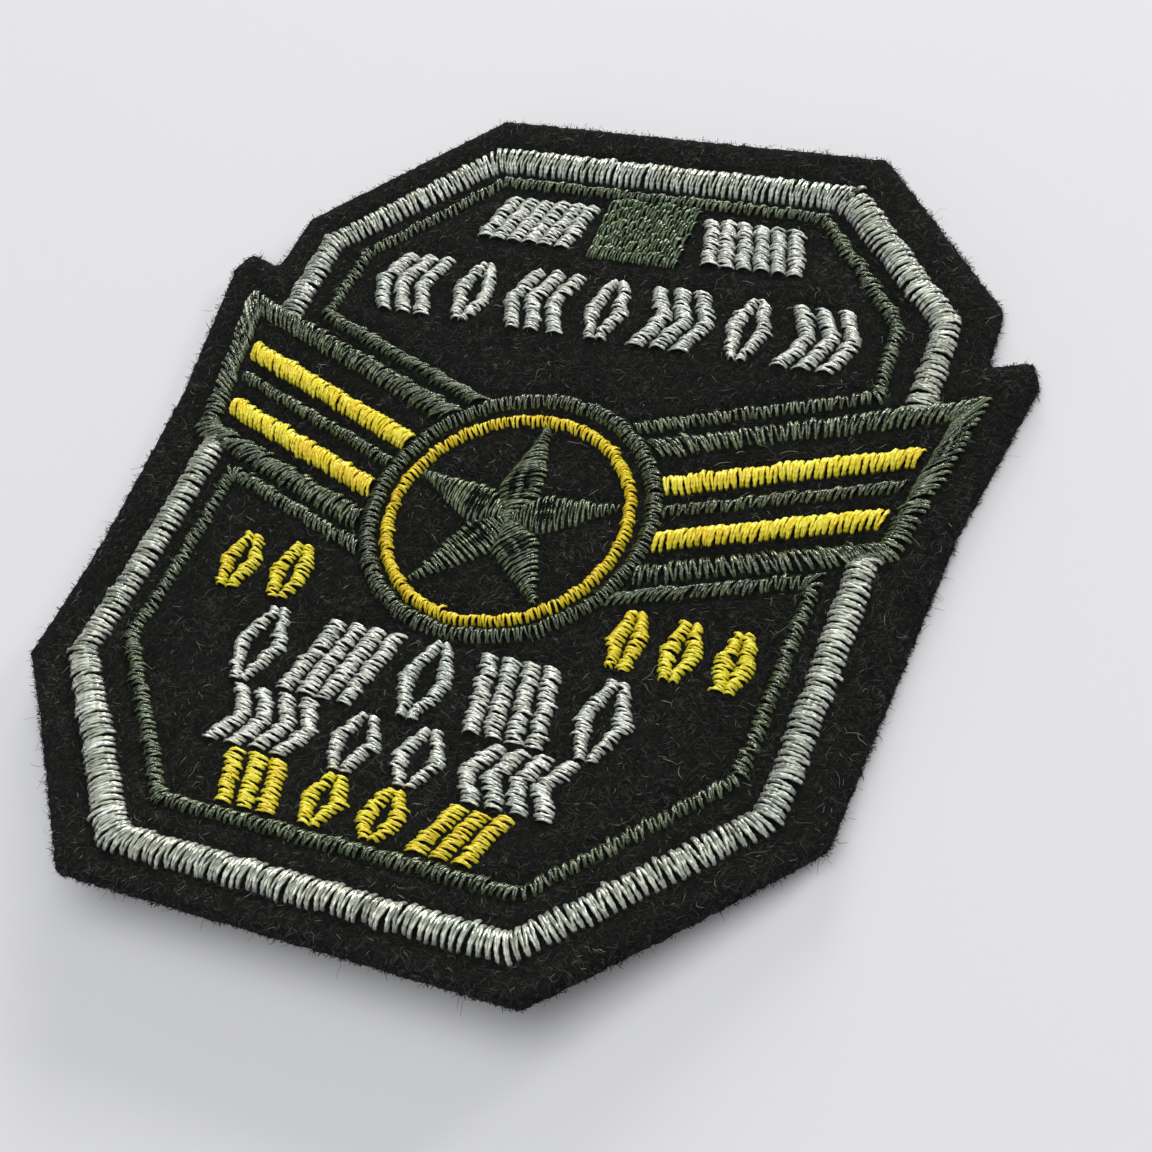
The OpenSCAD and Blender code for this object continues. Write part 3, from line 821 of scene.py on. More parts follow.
def sew(band, rng):
    """Paths of a band's threads with what their tubes need: sides, half sizes and a tone each."""
    left, right, share, length = lay_zigzag(band, rng)
    count = len(left)
    reach, low = TUCKED_END if band.get("tucked") else PLAIN_END
    full = mix(low, 1.0, np.clip(np.minimum(share, 1 - share) * length / reach, 0.0, 1.0))
    if band.get("closed"):
        full = np.ones(count)
    crown = (band["height"] - THREAD_HALF_T) * full + rng.normal(0.0, CROWN_UNEVEN, count)
    path, sideways, along = thread_paths(left, right, crown, rng)
    paired = np.repeat(rng.random(count // 2 + 1), 2)[:count]
    tone = mix(rng.random(count), paired, PAIR_TONE)
    tone = np.clip(tone + band.get("lighter", 0.0), 0.0, 1.0)
    closer = mix(1.0, band.get("pitch", PITCH) / PITCH, THINNER)
    slim = rng.uniform(*THREAD_SIZES, count)[:, None] * closer * band.get("wider", 1.0)
    slim = slim * mix(TIP_SIZE, 1.0, np.sin(math.pi * along) ** 0.5)
    return path, sideways, along, tone, THREAD_HALF_W * slim, THREAD_HALF_T * slim


print("a usual thread is", round(2 * THREAD_HALF_W / MM, 2), "mm wide")

# %% Sew a whole piece


def threads_piece(node, path, sideways, along, tone, half_w, half_t, rng):
    """One mesh of all the threads of a piece, and how many there are."""
    verts, quads, caps, vectors = tubes(path, sideways, half_w, half_t, rng)
    per_point = np.repeat(along[..., None], SIDES, axis=2)
    floats = {
        "thread_along": per_point,
        "thread_tone": np.broadcast_to(tone[:, None, None], per_point.shape),
    }
    piece = mesh_piece(node + "_stitched", verts, quads.tolist() + caps.tolist(), floats, vectors)
    return piece, len(path)


def sew_piece(node, order):
    """All bands of a piece, sewn with random numbers of its own."""
    rng = np.random.default_rng(SEED + order)
    parts = [sew(band, rng) for band in BANDS[node]]
    path, sideways, along, tone, half_w, half_t = (np.concatenate(p) for p in zip(*parts))
    return threads_piece(node, path, sideways, along, tone, half_w, half_t, rng)


print("pieces to sew:", len(BANDS))

# %% [markdown]
# ## The green block
# At the head a small field is filled with rows of short stitches that run up and down. Neighbouring
# rows are staggered, as a machine does to hide the holes, and the felt shows between them here and
# there. It is the same thread path, only laid end to end.

# %% Lay the block's rows
BLOCK_PITCH = 0.34 * MM
BLOCK_STITCH = 1.9 * MM
BLOCK_LEAN = 0.30 * MM
# Shortest stitch left over at the head of a row, how far rows overrun, and how uneven they lie
BLOCK_REST = 0.5 * MM
BLOCK_OVERRUN = 0.25
BLOCK_UNEVEN = 0.05 * MM
# Shares of a stitch for the first one of a row and for the next ones
FIRST_STITCH = (0.3, 1.2)
NEXT_STITCH = (0.75, 1.15)
# Height of the threads in millimetres, and how much their sizes differ
BLOCK_CROWN = (0.22, 0.38)
BLOCK_SIZES = (0.8, 1.0)
BLOCK_TOP = HEAD_TOP - BUTT_GAP
BLOCK_BOTTOM = BLOCK_TOP - BLOCK_L


def block_ends(rng):
    """Both ends of each stitch of the filled field, row by row."""
    ends = []
    rows = round(BLOCK_W / BLOCK_PITCH)
    for i in range(rows):
        x = -BLOCK_W / 2 + (i + 0.5) * BLOCK_PITCH
        y = BLOCK_BOTTOM - rng.uniform(0.0, BLOCK_OVERRUN) * MM
        stop = BLOCK_BOTTOM + rng.uniform(*FIRST_STITCH) * BLOCK_STITCH
        while y < BLOCK_TOP - BLOCK_REST:
            low = [x + rng.normal(0.0, BLOCK_UNEVEN) - BLOCK_LEAN / 2, y]
            high = [x + rng.normal(0.0, BLOCK_UNEVEN) + BLOCK_LEAN / 2, stop]
            ends.append(low + high)
            y = stop
            stop += BLOCK_STITCH * rng.uniform(*NEXT_STITCH)
            stop = min(stop, BLOCK_TOP + rng.uniform(0.0, BLOCK_OVERRUN) * MM)
    return np.array(ends)


def sew_block(node, order):
    """The filled block: low threads laid end to end."""
    rng = np.random.default_rng(SEED + order)
    ends = block_ends(rng)
    crown = rng.uniform(*BLOCK_CROWN, len(ends)) * MM
    path, sideways, along = thread_paths(ends[:, :2], ends[:, 2:], crown, rng)
    tone = rng.random(len(ends))
    slim = rng.uniform(*BLOCK_SIZES, len(ends))[:, None] * np.ones_like(along)
    half_w = THREAD_HALF_W * slim
    half_t = THREAD_HALF_T * slim
    return threads_piece(node, path, sideways, along, tone, half_w, half_t, rng)


print("rows in the block:", round(BLOCK_W / BLOCK_PITCH))

# %% Sew everything
stitched = {}
threads_sewn = 0
for order, node in enumerate(sorted(BANDS)):
    stitched[node], count = sew_piece(node, order)
    threads_sewn += count
stitched["green_block"], count = sew_block("green_block", len(BANDS))
threads_sewn += count
print("threads:", threads_sewn, "triangles:", sum(triangles(piece) for piece in stitched.values()))

# %% [markdown]
# ## The felt panel
# Felt has no weave: it is matted wool, cut with a hot die or shears. Its face sinks where thread
# pulls on it and puffs up between the bands. A remeshed copy of the solid would round its edges, so
# the panel is built here: a wall round the outline, and a fine net of triangles for the face that
# can carry dimples and lumps.

# %% The cut outline
CORNER_R = 0.7 * MM
FELT_SIDE = [(0.499, 1.000), (0.875, 0.652), (0.884, 0.508), (0.977, 0.535), (1.000, 0.490),
             (0.935, 0.146), (0.912, -0.207), (0.898, -0.551), (0.496, -1.000)]
EDGE_STEP = 0.32 * MM


def rounded(before, p, after, radius):
    """A short arc in place of a corner."""
    u = unit(before - p)
    v = unit(after - p)
    half = math.acos(u @ v) / 2
    reach = radius / math.tan(half)
    centre = p + unit(u + v) * radius / math.sin(half)
    a = p + u * reach - centre
    b = p + v * reach - centre
    return [centre + radius * unit(mix(a, b, share)) for share in np.linspace(0, 1, 5)]


def felt_outline():
    """The whole cut edge, its right side listed from the head down and then mirrored."""
    side = [placed(*share) for share in FELT_SIDE]
    corners = side + [p * [-1, 1] for p in reversed(side)]
    count = len(corners)
    points = []
    for i, p in enumerate(corners):
        points += rounded(corners[i - 1], p, corners[(i + 1) % count], CORNER_R)
    return np.array(points)


def resampled(loop, step):
    """Even points round a closed loop."""
    closed = np.vstack([loop, loop[:1]])
    along = distances(closed)
    s = np.linspace(0.0, along[-1], round(along[-1] / step), endpoint=False)
    return np.stack([np.interp(s, along, closed[:, i]) for i in range(2)], axis=1)


cut_edge = felt_outline()
edge = resampled(cut_edge, EDGE_STEP)

# %% Where the stitching pulls on the felt
SPOT = 0.4 * MM
SPOTS_ACROSS = 6


def stitched_spots():
    """Points all over the bands, close enough together to feel where they are."""
    spots = []
    for bands in BANDS.values():
        for band in bands:
            along = along_band(band["cuts"])
            places = rail_places(band["cuts"], np.arange(0.0, along[-1], SPOT), along)
            for share in np.linspace(0.0, 1.0, SPOTS_ACROSS):
                spots.append(mix(places[:, :2], places[:, 2:], share))
    fill_x = np.arange(-BLOCK_W / 2, BLOCK_W / 2, SPOT)
    fill_y = np.arange(BLOCK_BOTTOM, BLOCK_TOP, SPOT)
    spots.append(np.stack(np.meshgrid(fill_x, fill_y), axis=-1).reshape(-1, 2))
    return np.concatenate(spots)


def tree_of(points):
    """A search tree that finds the nearest of many plan points."""
    tree = kdtree.KDTree(len(points))
    for i, (x, y) in enumerate(points):
        tree.insert((x, y, 0.0), i)
    tree.balance()
    return tree


stitch_spots = stitched_spots()
stitch_tree = tree_of(stitch_spots)
edge_tree = tree_of(edge)
print("spots on the stitching:", len(stitch_spots))


def from_stitches(p):
    """Distance of a plan point from the stitching."""
    return stitch_tree.find((p[0], p[1], 0.0))[2]


def from_edge(p):
    """Its distance from the felt's edge."""
    return edge_tree.find((p[0], p[1], 0.0))[2]


# %% Relief of the face
# How deep stitching pulls the felt and how high it puffs up between, and how far both reach
PULL = 0.22 * MM
PULL_REACH = 0.55 * MM
PUFF = 0.14 * MM
PUFF_REACH = 1.6 * MM
# Lumps of the felt itself: height and size of the wide ones and of the fine ones
WIDE_LUMP = (0.07 * MM, 3.5 * MM)
FINE_LUMP = (0.05 * MM, 0.9 * MM)


def lumps(x, y, size, layer):
    """Smooth random ups and downs of a certain size, another set in each layer."""
    return noise.noise(Vector((x / size, y / size, layer)))


def relief(p):
    """How far the face lies above or below an even sheet at a plan point."""
    near = from_stitches(p)
    pulled = -PULL * math.exp(-((near / PULL_REACH) ** 2))
    puffed = PUFF * (1 - math.exp(-((near / PUFF_REACH) ** 2)))
    wide = WIDE_LUMP[0] * lumps(*p, WIDE_LUMP[1], 0.3)
    fine = FINE_LUMP[0] * lumps(*p, FINE_LUMP[1], 7.1)
    return pulled + puffed + wide + fine


print("relief at the star's centre, in mm:", round(relief((0.0, 0.0)) / MM, 2))

# %% Points inside the outline
# Rows of the grid, as a share of its step, and how unevenly its points lie
GRID_ROWS = 0.87
GRID_UNEVEN = 0.2


def inside(points, loop):
    """True for each point that lies inside the loop, by counting crossings."""
    found = np.zeros(len(points), bool)
    after = np.roll(loop, -1, axis=0)
    for (x0, y0), (x1, y1) in zip(loop, after):
        if y0 == y1:
            continue
        spans = (points[:, 1] > y0) != (points[:, 1] > y1)
        crossing = x0 + (points[:, 1] - y0) * (x1 - x0) / (y1 - y0)
        found ^= spans & (points[:, 0] < crossing)
    return found


def inner_points(step, margin, rng):
    """A slightly uneven grid of points inside the outline, clear of its edge."""
    xs = np.arange(-HALF_W, HALF_W, step)
    ys = np.arange(-FOOT_L, HEAD_L, step * GRID_ROWS)
    grid = np.stack(np.meshgrid(xs, ys), axis=-1)
    grid[1::2, :, 0] += step / 2
    grid = grid.reshape(-1, 2) + rng.uniform(-GRID_UNEVEN, GRID_UNEVEN, (grid.size // 2, 2)) * step
    grid = grid[inside(grid, cut_edge)]
    return np.array([p for p in grid if from_edge(p) > margin])


def net(loop, inner):
    """Triangles over a loop and the points inside it. Their numbers count the loop first."""
    points = np.vstack([loop, inner]) / MM
    links = [(i, (i + 1) % len(loop)) for i in range(len(loop))]
    made = geometry.delaunay_2d_cdt([Vector(p) for p in points], links, [], 1, 1e-5)
    source = [ids[0] for ids in made[3]]
    return [[source[i] for i in face] for face in made[2]]


print("the star's centre lies inside the felt:", bool(inside(np.zeros((1, 2)), cut_edge)[0]))

# %% Wall of the panel
# The wall from the back to the face. Columns: distance outwards, share of the thickness
WALL = [(-0.12 * MM, 0.00), (0.00 * MM, 0.12), (0.03 * MM, 0.50), (0.00 * MM, 0.84),
        (-0.10 * MM, 0.96), (-0.32 * MM, 1.00)]
# How far the cut wanders outwards, and over what size: in slow waves and in quick ones
SLOW_CUT = (0.12 * MM, 1.0 * MM)
QUICK_CUT = (0.17 * MM, 0.34 * MM)


def outwards(loop):
    """The direction away from the panel at each point of its edge."""
    return left_of(units(np.roll(loop, -1, axis=0) - np.roll(loop, 1, axis=0)))


def edge_roughness(x, y, share):
    """How far the cut wanders outwards at a place on the wall."""
    slow = lumps(x, y, SLOW_CUT[1], share)
    quick = lumps(x, y, QUICK_CUT[1], 5 + 2 * share)
    return SLOW_CUT[0] * slow + QUICK_CUT[0] * quick


def wall_rings():
    """One loop of points for each line of the wall."""
    rings = []
    for out, share in WALL:
        rough = np.array([edge_roughness(x, y, share) for x, y in edge])
        loop = edge + outwards(edge) * (out + rough)[:, None]
        z = mix(back_z(loop[:, 1]), face_z(loop[:, 1]), share)
        rings.append(np.column_stack([loop, z]))
    return rings


print("rings in the wall:", len(WALL))

# %% Build the panel
FACE_STEP = 0.52 * MM
BACK_STEP = 4.0 * MM
# Space between the loop of the wall and the first points inside it, as a share of a step
CLEAR = 0.6


def ground_z(points):
    """Height of the felt's face, with its relief, at many plan points."""
    return face_z(points[:, 1]) + np.array([relief(p) for p in points])


def build_felt():
    """The wall ring by ring, then a net over the face and one over the back."""
    rng = np.random.default_rng(SEED - 1)
    rings = wall_rings()
    face_inner = inner_points(FACE_STEP, -WALL[-1][0] + CLEAR * FACE_STEP, rng)
    back_inner = inner_points(BACK_STEP, -WALL[0][0] + CLEAR * BACK_STEP, rng)
    face_points = np.column_stack([face_inner, ground_z(face_inner)])
    back_points = np.column_stack([back_inner, back_z(back_inner[:, 1])])
    verts = np.vstack(rings + [face_points, back_points])
    n = len(edge)
    faces = []
    for k in range(len(WALL) - 1):
        for i in range(n):
            j = (i + 1) % n
            faces.append([k * n + j, k * n + i, (k + 1) * n + i, (k + 1) * n + j])
    top_start = (len(WALL) - 1) * n
    inner_start = len(WALL) * n
    for face in net(rings[-1][:, :2], face_inner):
        faces.append([i + top_start if i < n else i - n + inner_start for i in face])
    back_start = inner_start + len(face_inner)
    for face in net(rings[0][:, :2], back_inner):
        faces.append([i if i < n else i - n + back_start for i in reversed(face)])
    return mesh_piece("felt_panel", verts, faces)


felt = build_felt()
print("felt triangles:", triangles(felt))

# %% [markdown]
# ## The nap
# Wool felt is hairy. Fibres lie all over its face, catch the light as fine grey hairs, and make its
# cut edge look soft. Hair particles aren't meshes, so each fibre is a thin spindle with three sides.
# Most lie nearly flat; those at the edge point outwards.

# %% Spindles
FIBRE_R = 0.018 * MM
# Waves and swing of a fibre's curl, and any direction that no fibre follows, to find its sides
CURL_TURNS = 7.0
CURL = 0.09
SKEW = np.array([0.31, 0.17, 0.93])
# Rings of three points along a fibre. Columns: share of the length, share of the radius
CURLY_RINGS = [(0.16, 0.8), (0.40, 1.0), (0.64, 0.9), (0.86, 0.6)]
SHORT_RINGS = [(0.30, 1.0), (0.72, 0.8)]


def spindles(name, roots, middles, tips, radius, tone, rings, rng):
    """Curly fibres through three points each: rings of three between two pointed ends."""
    count = len(roots)
    length = np.linalg.norm(tips - roots, axis=1)[:, None]
    along = (tips - roots) / length
    side = units(np.cross(along, SKEW))
    up = np.cross(side, along)
    curl = rng.normal(0.0, CURL, (count, 1)) * length
    start = rng.uniform(0.0, 2 * math.pi, (count, 1))

    def place(share):
        curve = mix(mix(roots, middles, share), mix(middles, tips, share), share)
        return curve + curl * np.sin(start + CURL_TURNS * share) * math.sin(math.pi * share) * side

    last = 3 * len(rings) + 1
    verts = np.zeros((count, last + 1, 3))
    verts[:, 0] = roots
    verts[:, last] = tips
    for i, (share, wide) in enumerate(rings):
        for k in range(3):
            turn = 2 * math.pi * k / 3
            off = wide * radius[:, None] * (side * math.cos(turn) + up * math.sin(turn))
            verts[:, 1 + 3 * i + k] = place(share) + off
    shape = []
    for k in range(3):
        j = (k + 1) % 3
        shape.append([0, 1 + j, 1 + k])
        for i in range(len(rings) - 1):
            a = 1 + 3 * i
            shape += [[a + k, a + j, a + 3 + j], [a + k, a + 3 + j, a + 3 + k]]
        shape.append([last - 3 + k, last - 3 + j, last])
    faces = (np.arange(count)[:, None, None] * (last + 1) + np.array(shape)).reshape(-1, 3)
    per_point = np.broadcast_to(tone[:, None], (count, last + 1))
    return mesh_piece(name, verts.reshape(-1, 3), faces.tolist(), {"thread_tone": per_point})


print("triangles in a fibre:", 6 * len(CURLY_RINGS), "if curly,", 6 * len(SHORT_RINGS), "if short")

# %% Nap of the face
LONG_FIBRES = 3000
SHORT_FIBRES = 9500
# Shortest fibre, and how far roots stay from stitching and edge and lie in the felt
LEAST_FIBRE = 0.2 * MM
ROOT_CLEAR = 0.3 * MM
ROOT_DEPTH = 0.02 * MM
# Sideways bend and height of its arch as shares of its length, and how thick fibres are
FACE_BEND = 0.30
FACE_ARCH = (0.05, 0.32)
FACE_SIZES = (0.6, 1.2)


def face_nap(name, wanted, mean_length, rings, seed):
    """Fibres that lie over the bare felt, rooted in it and slightly arched."""
    rng = np.random.default_rng(seed)
    roots = np.column_stack([rng.uniform(-HALF_W, HALF_W, 3 * wanted),
                             rng.uniform(-FOOT_L, HEAD_L, 3 * wanted)])
    roots = roots[inside(roots, cut_edge)]
    clear = [p for p in roots if from_stitches(p) > ROOT_CLEAR and from_edge(p) > ROOT_CLEAR]
    roots = np.array(clear)[:wanted]
    count = len(roots)
    heading = rng.uniform(0, 2 * math.pi, count)
    length = rng.gamma(3.0, mean_length / 3, count) + LEAST_FIBRE
    ahead = np.column_stack([np.cos(heading), np.sin(heading)])
    bend = rng.normal(0.0, FACE_BEND, count)[:, None] * length[:, None] * left_of(ahead)
    tips = roots + ahead * length[:, None]
    middles = roots + ahead * length[:, None] / 2 + bend
    arch = rng.uniform(*FACE_ARCH, count) * length
    ground = ground_z(roots)
    level_z = face_z(roots[:, 1])
    low = np.column_stack([roots, ground - ROOT_DEPTH])
    mid = np.column_stack([middles, ground + arch + face_z(middles[:, 1]) - level_z])
    end = np.column_stack([tips, ground + ROOT_DEPTH + face_z(tips[:, 1]) - level_z])
    radius = FIBRE_R * rng.uniform(*FACE_SIZES, count)
    return spindles(name, low, mid, end, radius, rng.random(count), rings, rng)


nap_face = face_nap("felt_nap_face", LONG_FIBRES, 0.95 * MM, CURLY_RINGS, SEED - 2)
nap_short = face_nap("felt_nap_short", SHORT_FIBRES, 0.45 * MM, SHORT_RINGS, SEED - 4)
print("face nap triangles:", triangles(nap_face), "and", triangles(nap_short))

# %% Nap of the cut edge
EDGE_FIBRES = 12000
# Share of the fibres that are long, and how much longer and thinner they are
LONG_SHARE = 0.02
LONGER = 3.2
THIN_LONG = 0.5
# Where a fibre would reach the floor it lies on it, at this height
ON_FLOOR = 0.03 * MM
# Shortest fibre in millimetres, and how much longer or shorter than usual a tuft is
LEAST_TUFT = 0.12
TUFTS = 0.8
# How far fibres fan out sideways, how they climb and how they bend, as shares of their length
FAN = 0.9
CLIMB = (0.15, 0.5)
EDGE_BEND = 0.25
EDGE_SIZES = (1.1, 2.4)
# The lightest tone that a fibre gets here, where 1 is the palest wool
EDGE_TONE = 0.80


def edge_nap():
    """Short fibres that stand out from the cut edge in uneven tufts."""
    rng = np.random.default_rng(SEED - 3)
    pick = rng.integers(0, len(edge), EDGE_FIBRES)
    slide = rng.uniform(-0.5, 0.5, EDGE_FIBRES)[:, None] * EDGE_STEP
    out = outwards(edge)[pick]
    along = left_of(out)
    share = rng.uniform(0.02, 1.0, EDGE_FIBRES)
    roots = edge[pick] + along * slide - out * 0.05 * MM
    z = mix(back_z(roots[:, 1]), face_z(roots[:, 1]), share)
    clump = np.array([lumps(x, y, MM, 9.0) for x, y in edge])[pick]
    length = (rng.gamma(2.0, 0.075, EDGE_FIBRES) + LEAST_TUFT) * MM * (1.0 + TUFTS * clump)
    long = rng.random(EDGE_FIBRES) < LONG_SHARE
    length = (length * np.where(long, LONGER, 1.0))[:, None]
    ahead = units(out + along * rng.normal(0.0, FAN, EDGE_FIBRES)[:, None])
    climb = rng.normal(*CLIMB, EDGE_FIBRES) * length[:, 0]
    low = np.column_stack([roots, z])
    end = np.column_stack([roots + ahead * length, np.maximum(z + climb, ON_FLOOR)])
    mid = (low + end) / 2 + rng.normal(0.0, EDGE_BEND, (EDGE_FIBRES, 3)) * length
    mid[:, 2] = np.maximum(mid[:, 2], ON_FLOOR)
    radius = FIBRE_R * rng.uniform(*EDGE_SIZES, EDGE_FIBRES) * np.where(long, THIN_LONG, 1.0)
    tone = EDGE_TONE * rng.random(EDGE_FIBRES)
    return spindles("felt_nap_edge", low, mid, end, radius, tone, SHORT_RINGS, rng)


nap_edge = edge_nap()
print("edge nap triangles:", triangles(nap_edge))

# %% [markdown]
# ## Finishes
# Rayon is glossy, and its filaments run lengthwise, so a highlight spreads across a thread and stays
# short along it. Every point of the tubes carries the direction of its thread for that. One material
# function serves all colours: a tone for each thread, a painted highlight of the tip colour where it
# bends, a broad drift of tint, and two twisted plies with their filaments as bump.

# %% Node helpers


def feed(tree, socket, value):
    """Links a socket to another one, or sets it to a plain number, vector or colour."""
    if isinstance(value, bpy.types.NodeSocket):
        tree.links.new(value, socket)
    else:
        socket.default_value = (*value, 1) if socket.type == "RGBA" else value


def node_of(tree, kind, sockets, **settings):
    """A new node. sockets feeds its inputs, by name or number."""
    made = tree.nodes.new(kind)
    for key, value in settings.items():
        setattr(made, key, value)
    for key, value in sockets.items():
        feed(tree, made.inputs[key], value)
    return made


def place_of(tree):
    """The place of a point in its own object."""
    return node_of(tree, "ShaderNodeTexCoord", {}).outputs["Object"]


def value_in(tree, name, output="Fac"):
    """A named value of the mesh's points."""
    return node_of(tree, "ShaderNodeAttribute", {}, attribute_name=name).outputs[output]


print("inputs of nodes take links, numbers, vectors or colours")

# %% Colours, noise and sums


def ramp(tree, source, stops):
    """A colour ramp with its stops as (place, colour)."""
    made = node_of(tree, "ShaderNodeValToRGB", {"Fac": source})
    elements = made.color_ramp.elements
    elements[0].position, elements[0].color = stops[0][0], (*stops[0][1], 1)
    elements[1].position, elements[1].color = stops[-1][0], (*stops[-1][1], 1)
    for place, colour in stops[1:-1]:
        elements.new(place).color = (*colour, 1)
    return made.outputs["Color"]


def greys(tree, source, *stops):
    """A ramp of greys with its stops as (place, grey)."""
    return ramp(tree, source, [(place, (grey, grey, grey)) for place, grey in stops])


def blended(tree, share, a, b, mode="MIX"):
    """Colour a with a share of colour b over it."""
    sockets = {0: share, 6: a, 7: b}
    return node_of(tree, "ShaderNodeMix", sockets, data_type="RGBA", blend_type=mode).outputs[2]


def noise_of(tree, vector, scale, detail, rough=0.55, output="Fac"):
    """Soft noise. scale is how many waves fit in a metre of the vector."""
    sockets = {"Vector": vector, "Scale": scale, "Detail": detail, "Roughness": rough}
    return node_of(tree, "ShaderNodeTexNoise", sockets).outputs[output]


def maths(tree, operation, *terms):
    """A math node over sockets and plain numbers."""
    return node_of(tree, "ShaderNodeMath", dict(enumerate(terms)), operation=operation).outputs[0]


def vectors_of(tree, operation, *terms):
    """A math node over vectors."""
    return node_of(tree, "ShaderNodeVectorMath", dict(enumerate(terms)), operation=operation).outputs[0]


def bumped(tree, height, strength, depth):
    """The surface's direction, tilted by a relief that is depth metres high."""
    sockets = {"Height": height, "Strength": strength, "Distance": depth}
    return node_of(tree, "ShaderNodeBump", sockets).outputs["Normal"]


print("helpers give a ramp, a mix, noise, a sum or a bump")

# %% A material and its shader


def fresh_material(name):
    """A new material with its node tree."""
    material = bpy.data.materials.new(name)
    material.use_nodes = True
    return material, material.node_tree


def dress(tree, sockets):
    """Feeds the shader of a material."""
    for key, value in sockets.items():
        feed(tree, tree.nodes["Principled BSDF"].inputs[key], value)


print("materials so far:", len(bpy.data.materials))

# %% Twisted plies
# Millimetres of thread in which its two plies repeat their places
PLY_TURN = 0.55
# Noise in the filaments: how fine it is round a thread and along it, and how far apart threads are
STRAND_SCALE = (4.0, 4.0, 0.8)
THREADS_APART = 60.0


def ply_relief(tree, tone):
    """Two plies that wind round the thread, with fine filaments along them."""
    spot = value_in(tree, "thread_spot", "Vector")
    parts = node_of(tree, "ShaderNodeSeparateXYZ", {0: spot})
    angle = maths(tree, "ARCTAN2", parts.outputs["Y"], parts.outputs["X"])
    turns = maths(tree, "MULTIPLY", parts.outputs["Z"], 2 * math.pi / PLY_TURN)
    plies = maths(tree, "SINE", maths(tree, "ADD", maths(tree, "MULTIPLY", angle, 2.0), turns))
    apart = node_of(tree, "ShaderNodeCombineXYZ", {"Z": maths(tree, "MULTIPLY", tone, THREADS_APART)})
    shifted = vectors_of(tree, "MULTIPLY_ADD", spot, STRAND_SCALE, apart.outputs[0])
    strands = noise_of(tree, shifted, 1.0, 2.0)
    return maths(tree, "MULTIPLY_ADD", plies, 0.5, strands)


print("the plies repeat their places every", PLY_TURN, "mm")

# %% Dyed thread
# How much of the tint and of the painted highlight at the tips shows, and the patches of tint in a metre
TINT = 0.45
TIP_HIGHLIGHT = 0.6
TINT_PATCHES = 160.0


def thread_material(name, deep, body, tip, tint, gloss, lustre, shine):
    """Dyed rayon: deep in the dark threads, body for most of them, tip for the palest, and a painted
    highlight of the tip colour where they bend.
    """
    material, tree = fresh_material(name)
    tone = value_in(tree, "thread_tone")
    light = mix(np.array(body), np.array(tip), 0.8)
    dyed = ramp(tree, tone, [(0.0, deep), (0.55, body), (1.0, light)])
    # Painted highlight: the tip colour is laid over both ends of each thread, where it bends down.
    bend_highlight = greys(tree, value_in(tree, "thread_along"), (0.0, 1), (0.26, 0), (0.74, 0), (1.0, 1))
    drift = greys(tree, noise_of(tree, place_of(tree), TINT_PATCHES, 2.0), (0.45, 0), (0.70, 1))
    tinted = blended(tree, drift, dyed, blended(tree, TINT, dyed, tint))
    dress(tree, {
        "Base Color": blended(tree, bend_highlight, tinted, blended(tree, TIP_HIGHLIGHT, tinted, tip)),
        "Roughness": gloss,
        "Metallic": lustre,
        "IOR": 1.82,
        "Specular IOR Level": 1.0,
        "Specular Tint": shine,
        "Anisotropic": 0.93,
        "Anisotropic Rotation": 0.25,
        "Tangent": value_in(tree, "thread_run", "Vector"),
        "Normal": bumped(tree, ply_relief(tree, tone), 0.8, 0.03 * MM),
    })
    return material


print("patches of tint are about", round(1 / TINT_PATCHES / MM, 1), "mm wide")

# %% The four threads
# Columns: deep, body, tip and tint of the dye, roughness, metallic share, colour of the shine. The tip
# colour is also painted as a highlight where a thread bends.
DYES = {
    "silver_thread": ((0.27, 0.29, 0.22), (0.53, 0.56, 0.44), (0.96, 0.97, 0.90),
                      (0.48, 0.58, 0.52), 0.29, 0.50, (1, 1, 1)),
    "olive_thread": ((0.0050, 0.0088, 0.0025), (0.008, 0.014, 0.0035), (0.190, 0.240, 0.115),
                     (0.008, 0.028, 0.005), 0.26, 0.0, (0.90, 1.0, 0.78)),
    "green_thread": ((0.0060, 0.018, 0.0030), (0.009, 0.027, 0.004), (0.110, 0.175, 0.060),
                     (0.010, 0.042, 0.006), 0.28, 0.0, (0.88, 1.0, 0.75)),
    "yellow_thread": ((0.68, 0.40, 0.002), (0.97, 0.75, 0.006), (1.00, 0.93, 0.070),
                      (0.90, 0.55, 0.003), 0.31, 0.0, (1.0, 0.93, 0.45)),
}
THREADS = {name: thread_material(name, *dye) for name, dye in DYES.items()}
print("thread colours:", len(THREADS))

# %% Hairs in the felt
# Matted hairs in the felt's surface: how many fit in a metre across them, and lengthwise
HAIRS_ACROSS = 7500.0
HAIRS_ALONG = 800.0
# How the hairs sway: waves in a metre, and how far sideways
SWAY_WAVES = 700.0
SWAY = 1.1 * MM


def hairs_laid(tree, place, heading):
    """Thin bright streaks that all lie in about one direction."""
    bend = noise_of(tree, place, SWAY_WAVES, 2.0, 0.5, "Color")
    swayed = vectors_of(tree, "MULTIPLY_ADD", bend, (SWAY, SWAY, 0.0), place)
    turn = {"Vector": swayed, "Rotation": (0.0, 0.0, math.radians(heading))}
    turned_place = node_of(tree, "ShaderNodeMapping", turn).outputs[0]
    stretched = vectors_of(tree, "MULTIPLY", turned_place, (HAIRS_ACROSS, HAIRS_ALONG, HAIRS_ALONG))
    return greys(tree, noise_of(tree, stretched, 1.0, 1.0), (0.60, 0), (0.74, 1))


print("hairs lie about", round(1 / HAIRS_ACROSS / MM, 2), "mm apart")

# %% Matted felt
# Directions that hairs lie in, and how fine the matted ground and its broad patches are
HEADINGS = (15.0, 75.0, 130.0)
MATTED = 2600.0
PATCHES = 240.0
FELT_DARK = (0.0036, 0.0038, 0.0036)
FELT_LIGHT = (0.0115, 0.0115, 0.0105)
FELT_HAIR = (0.050, 0.050, 0.045)


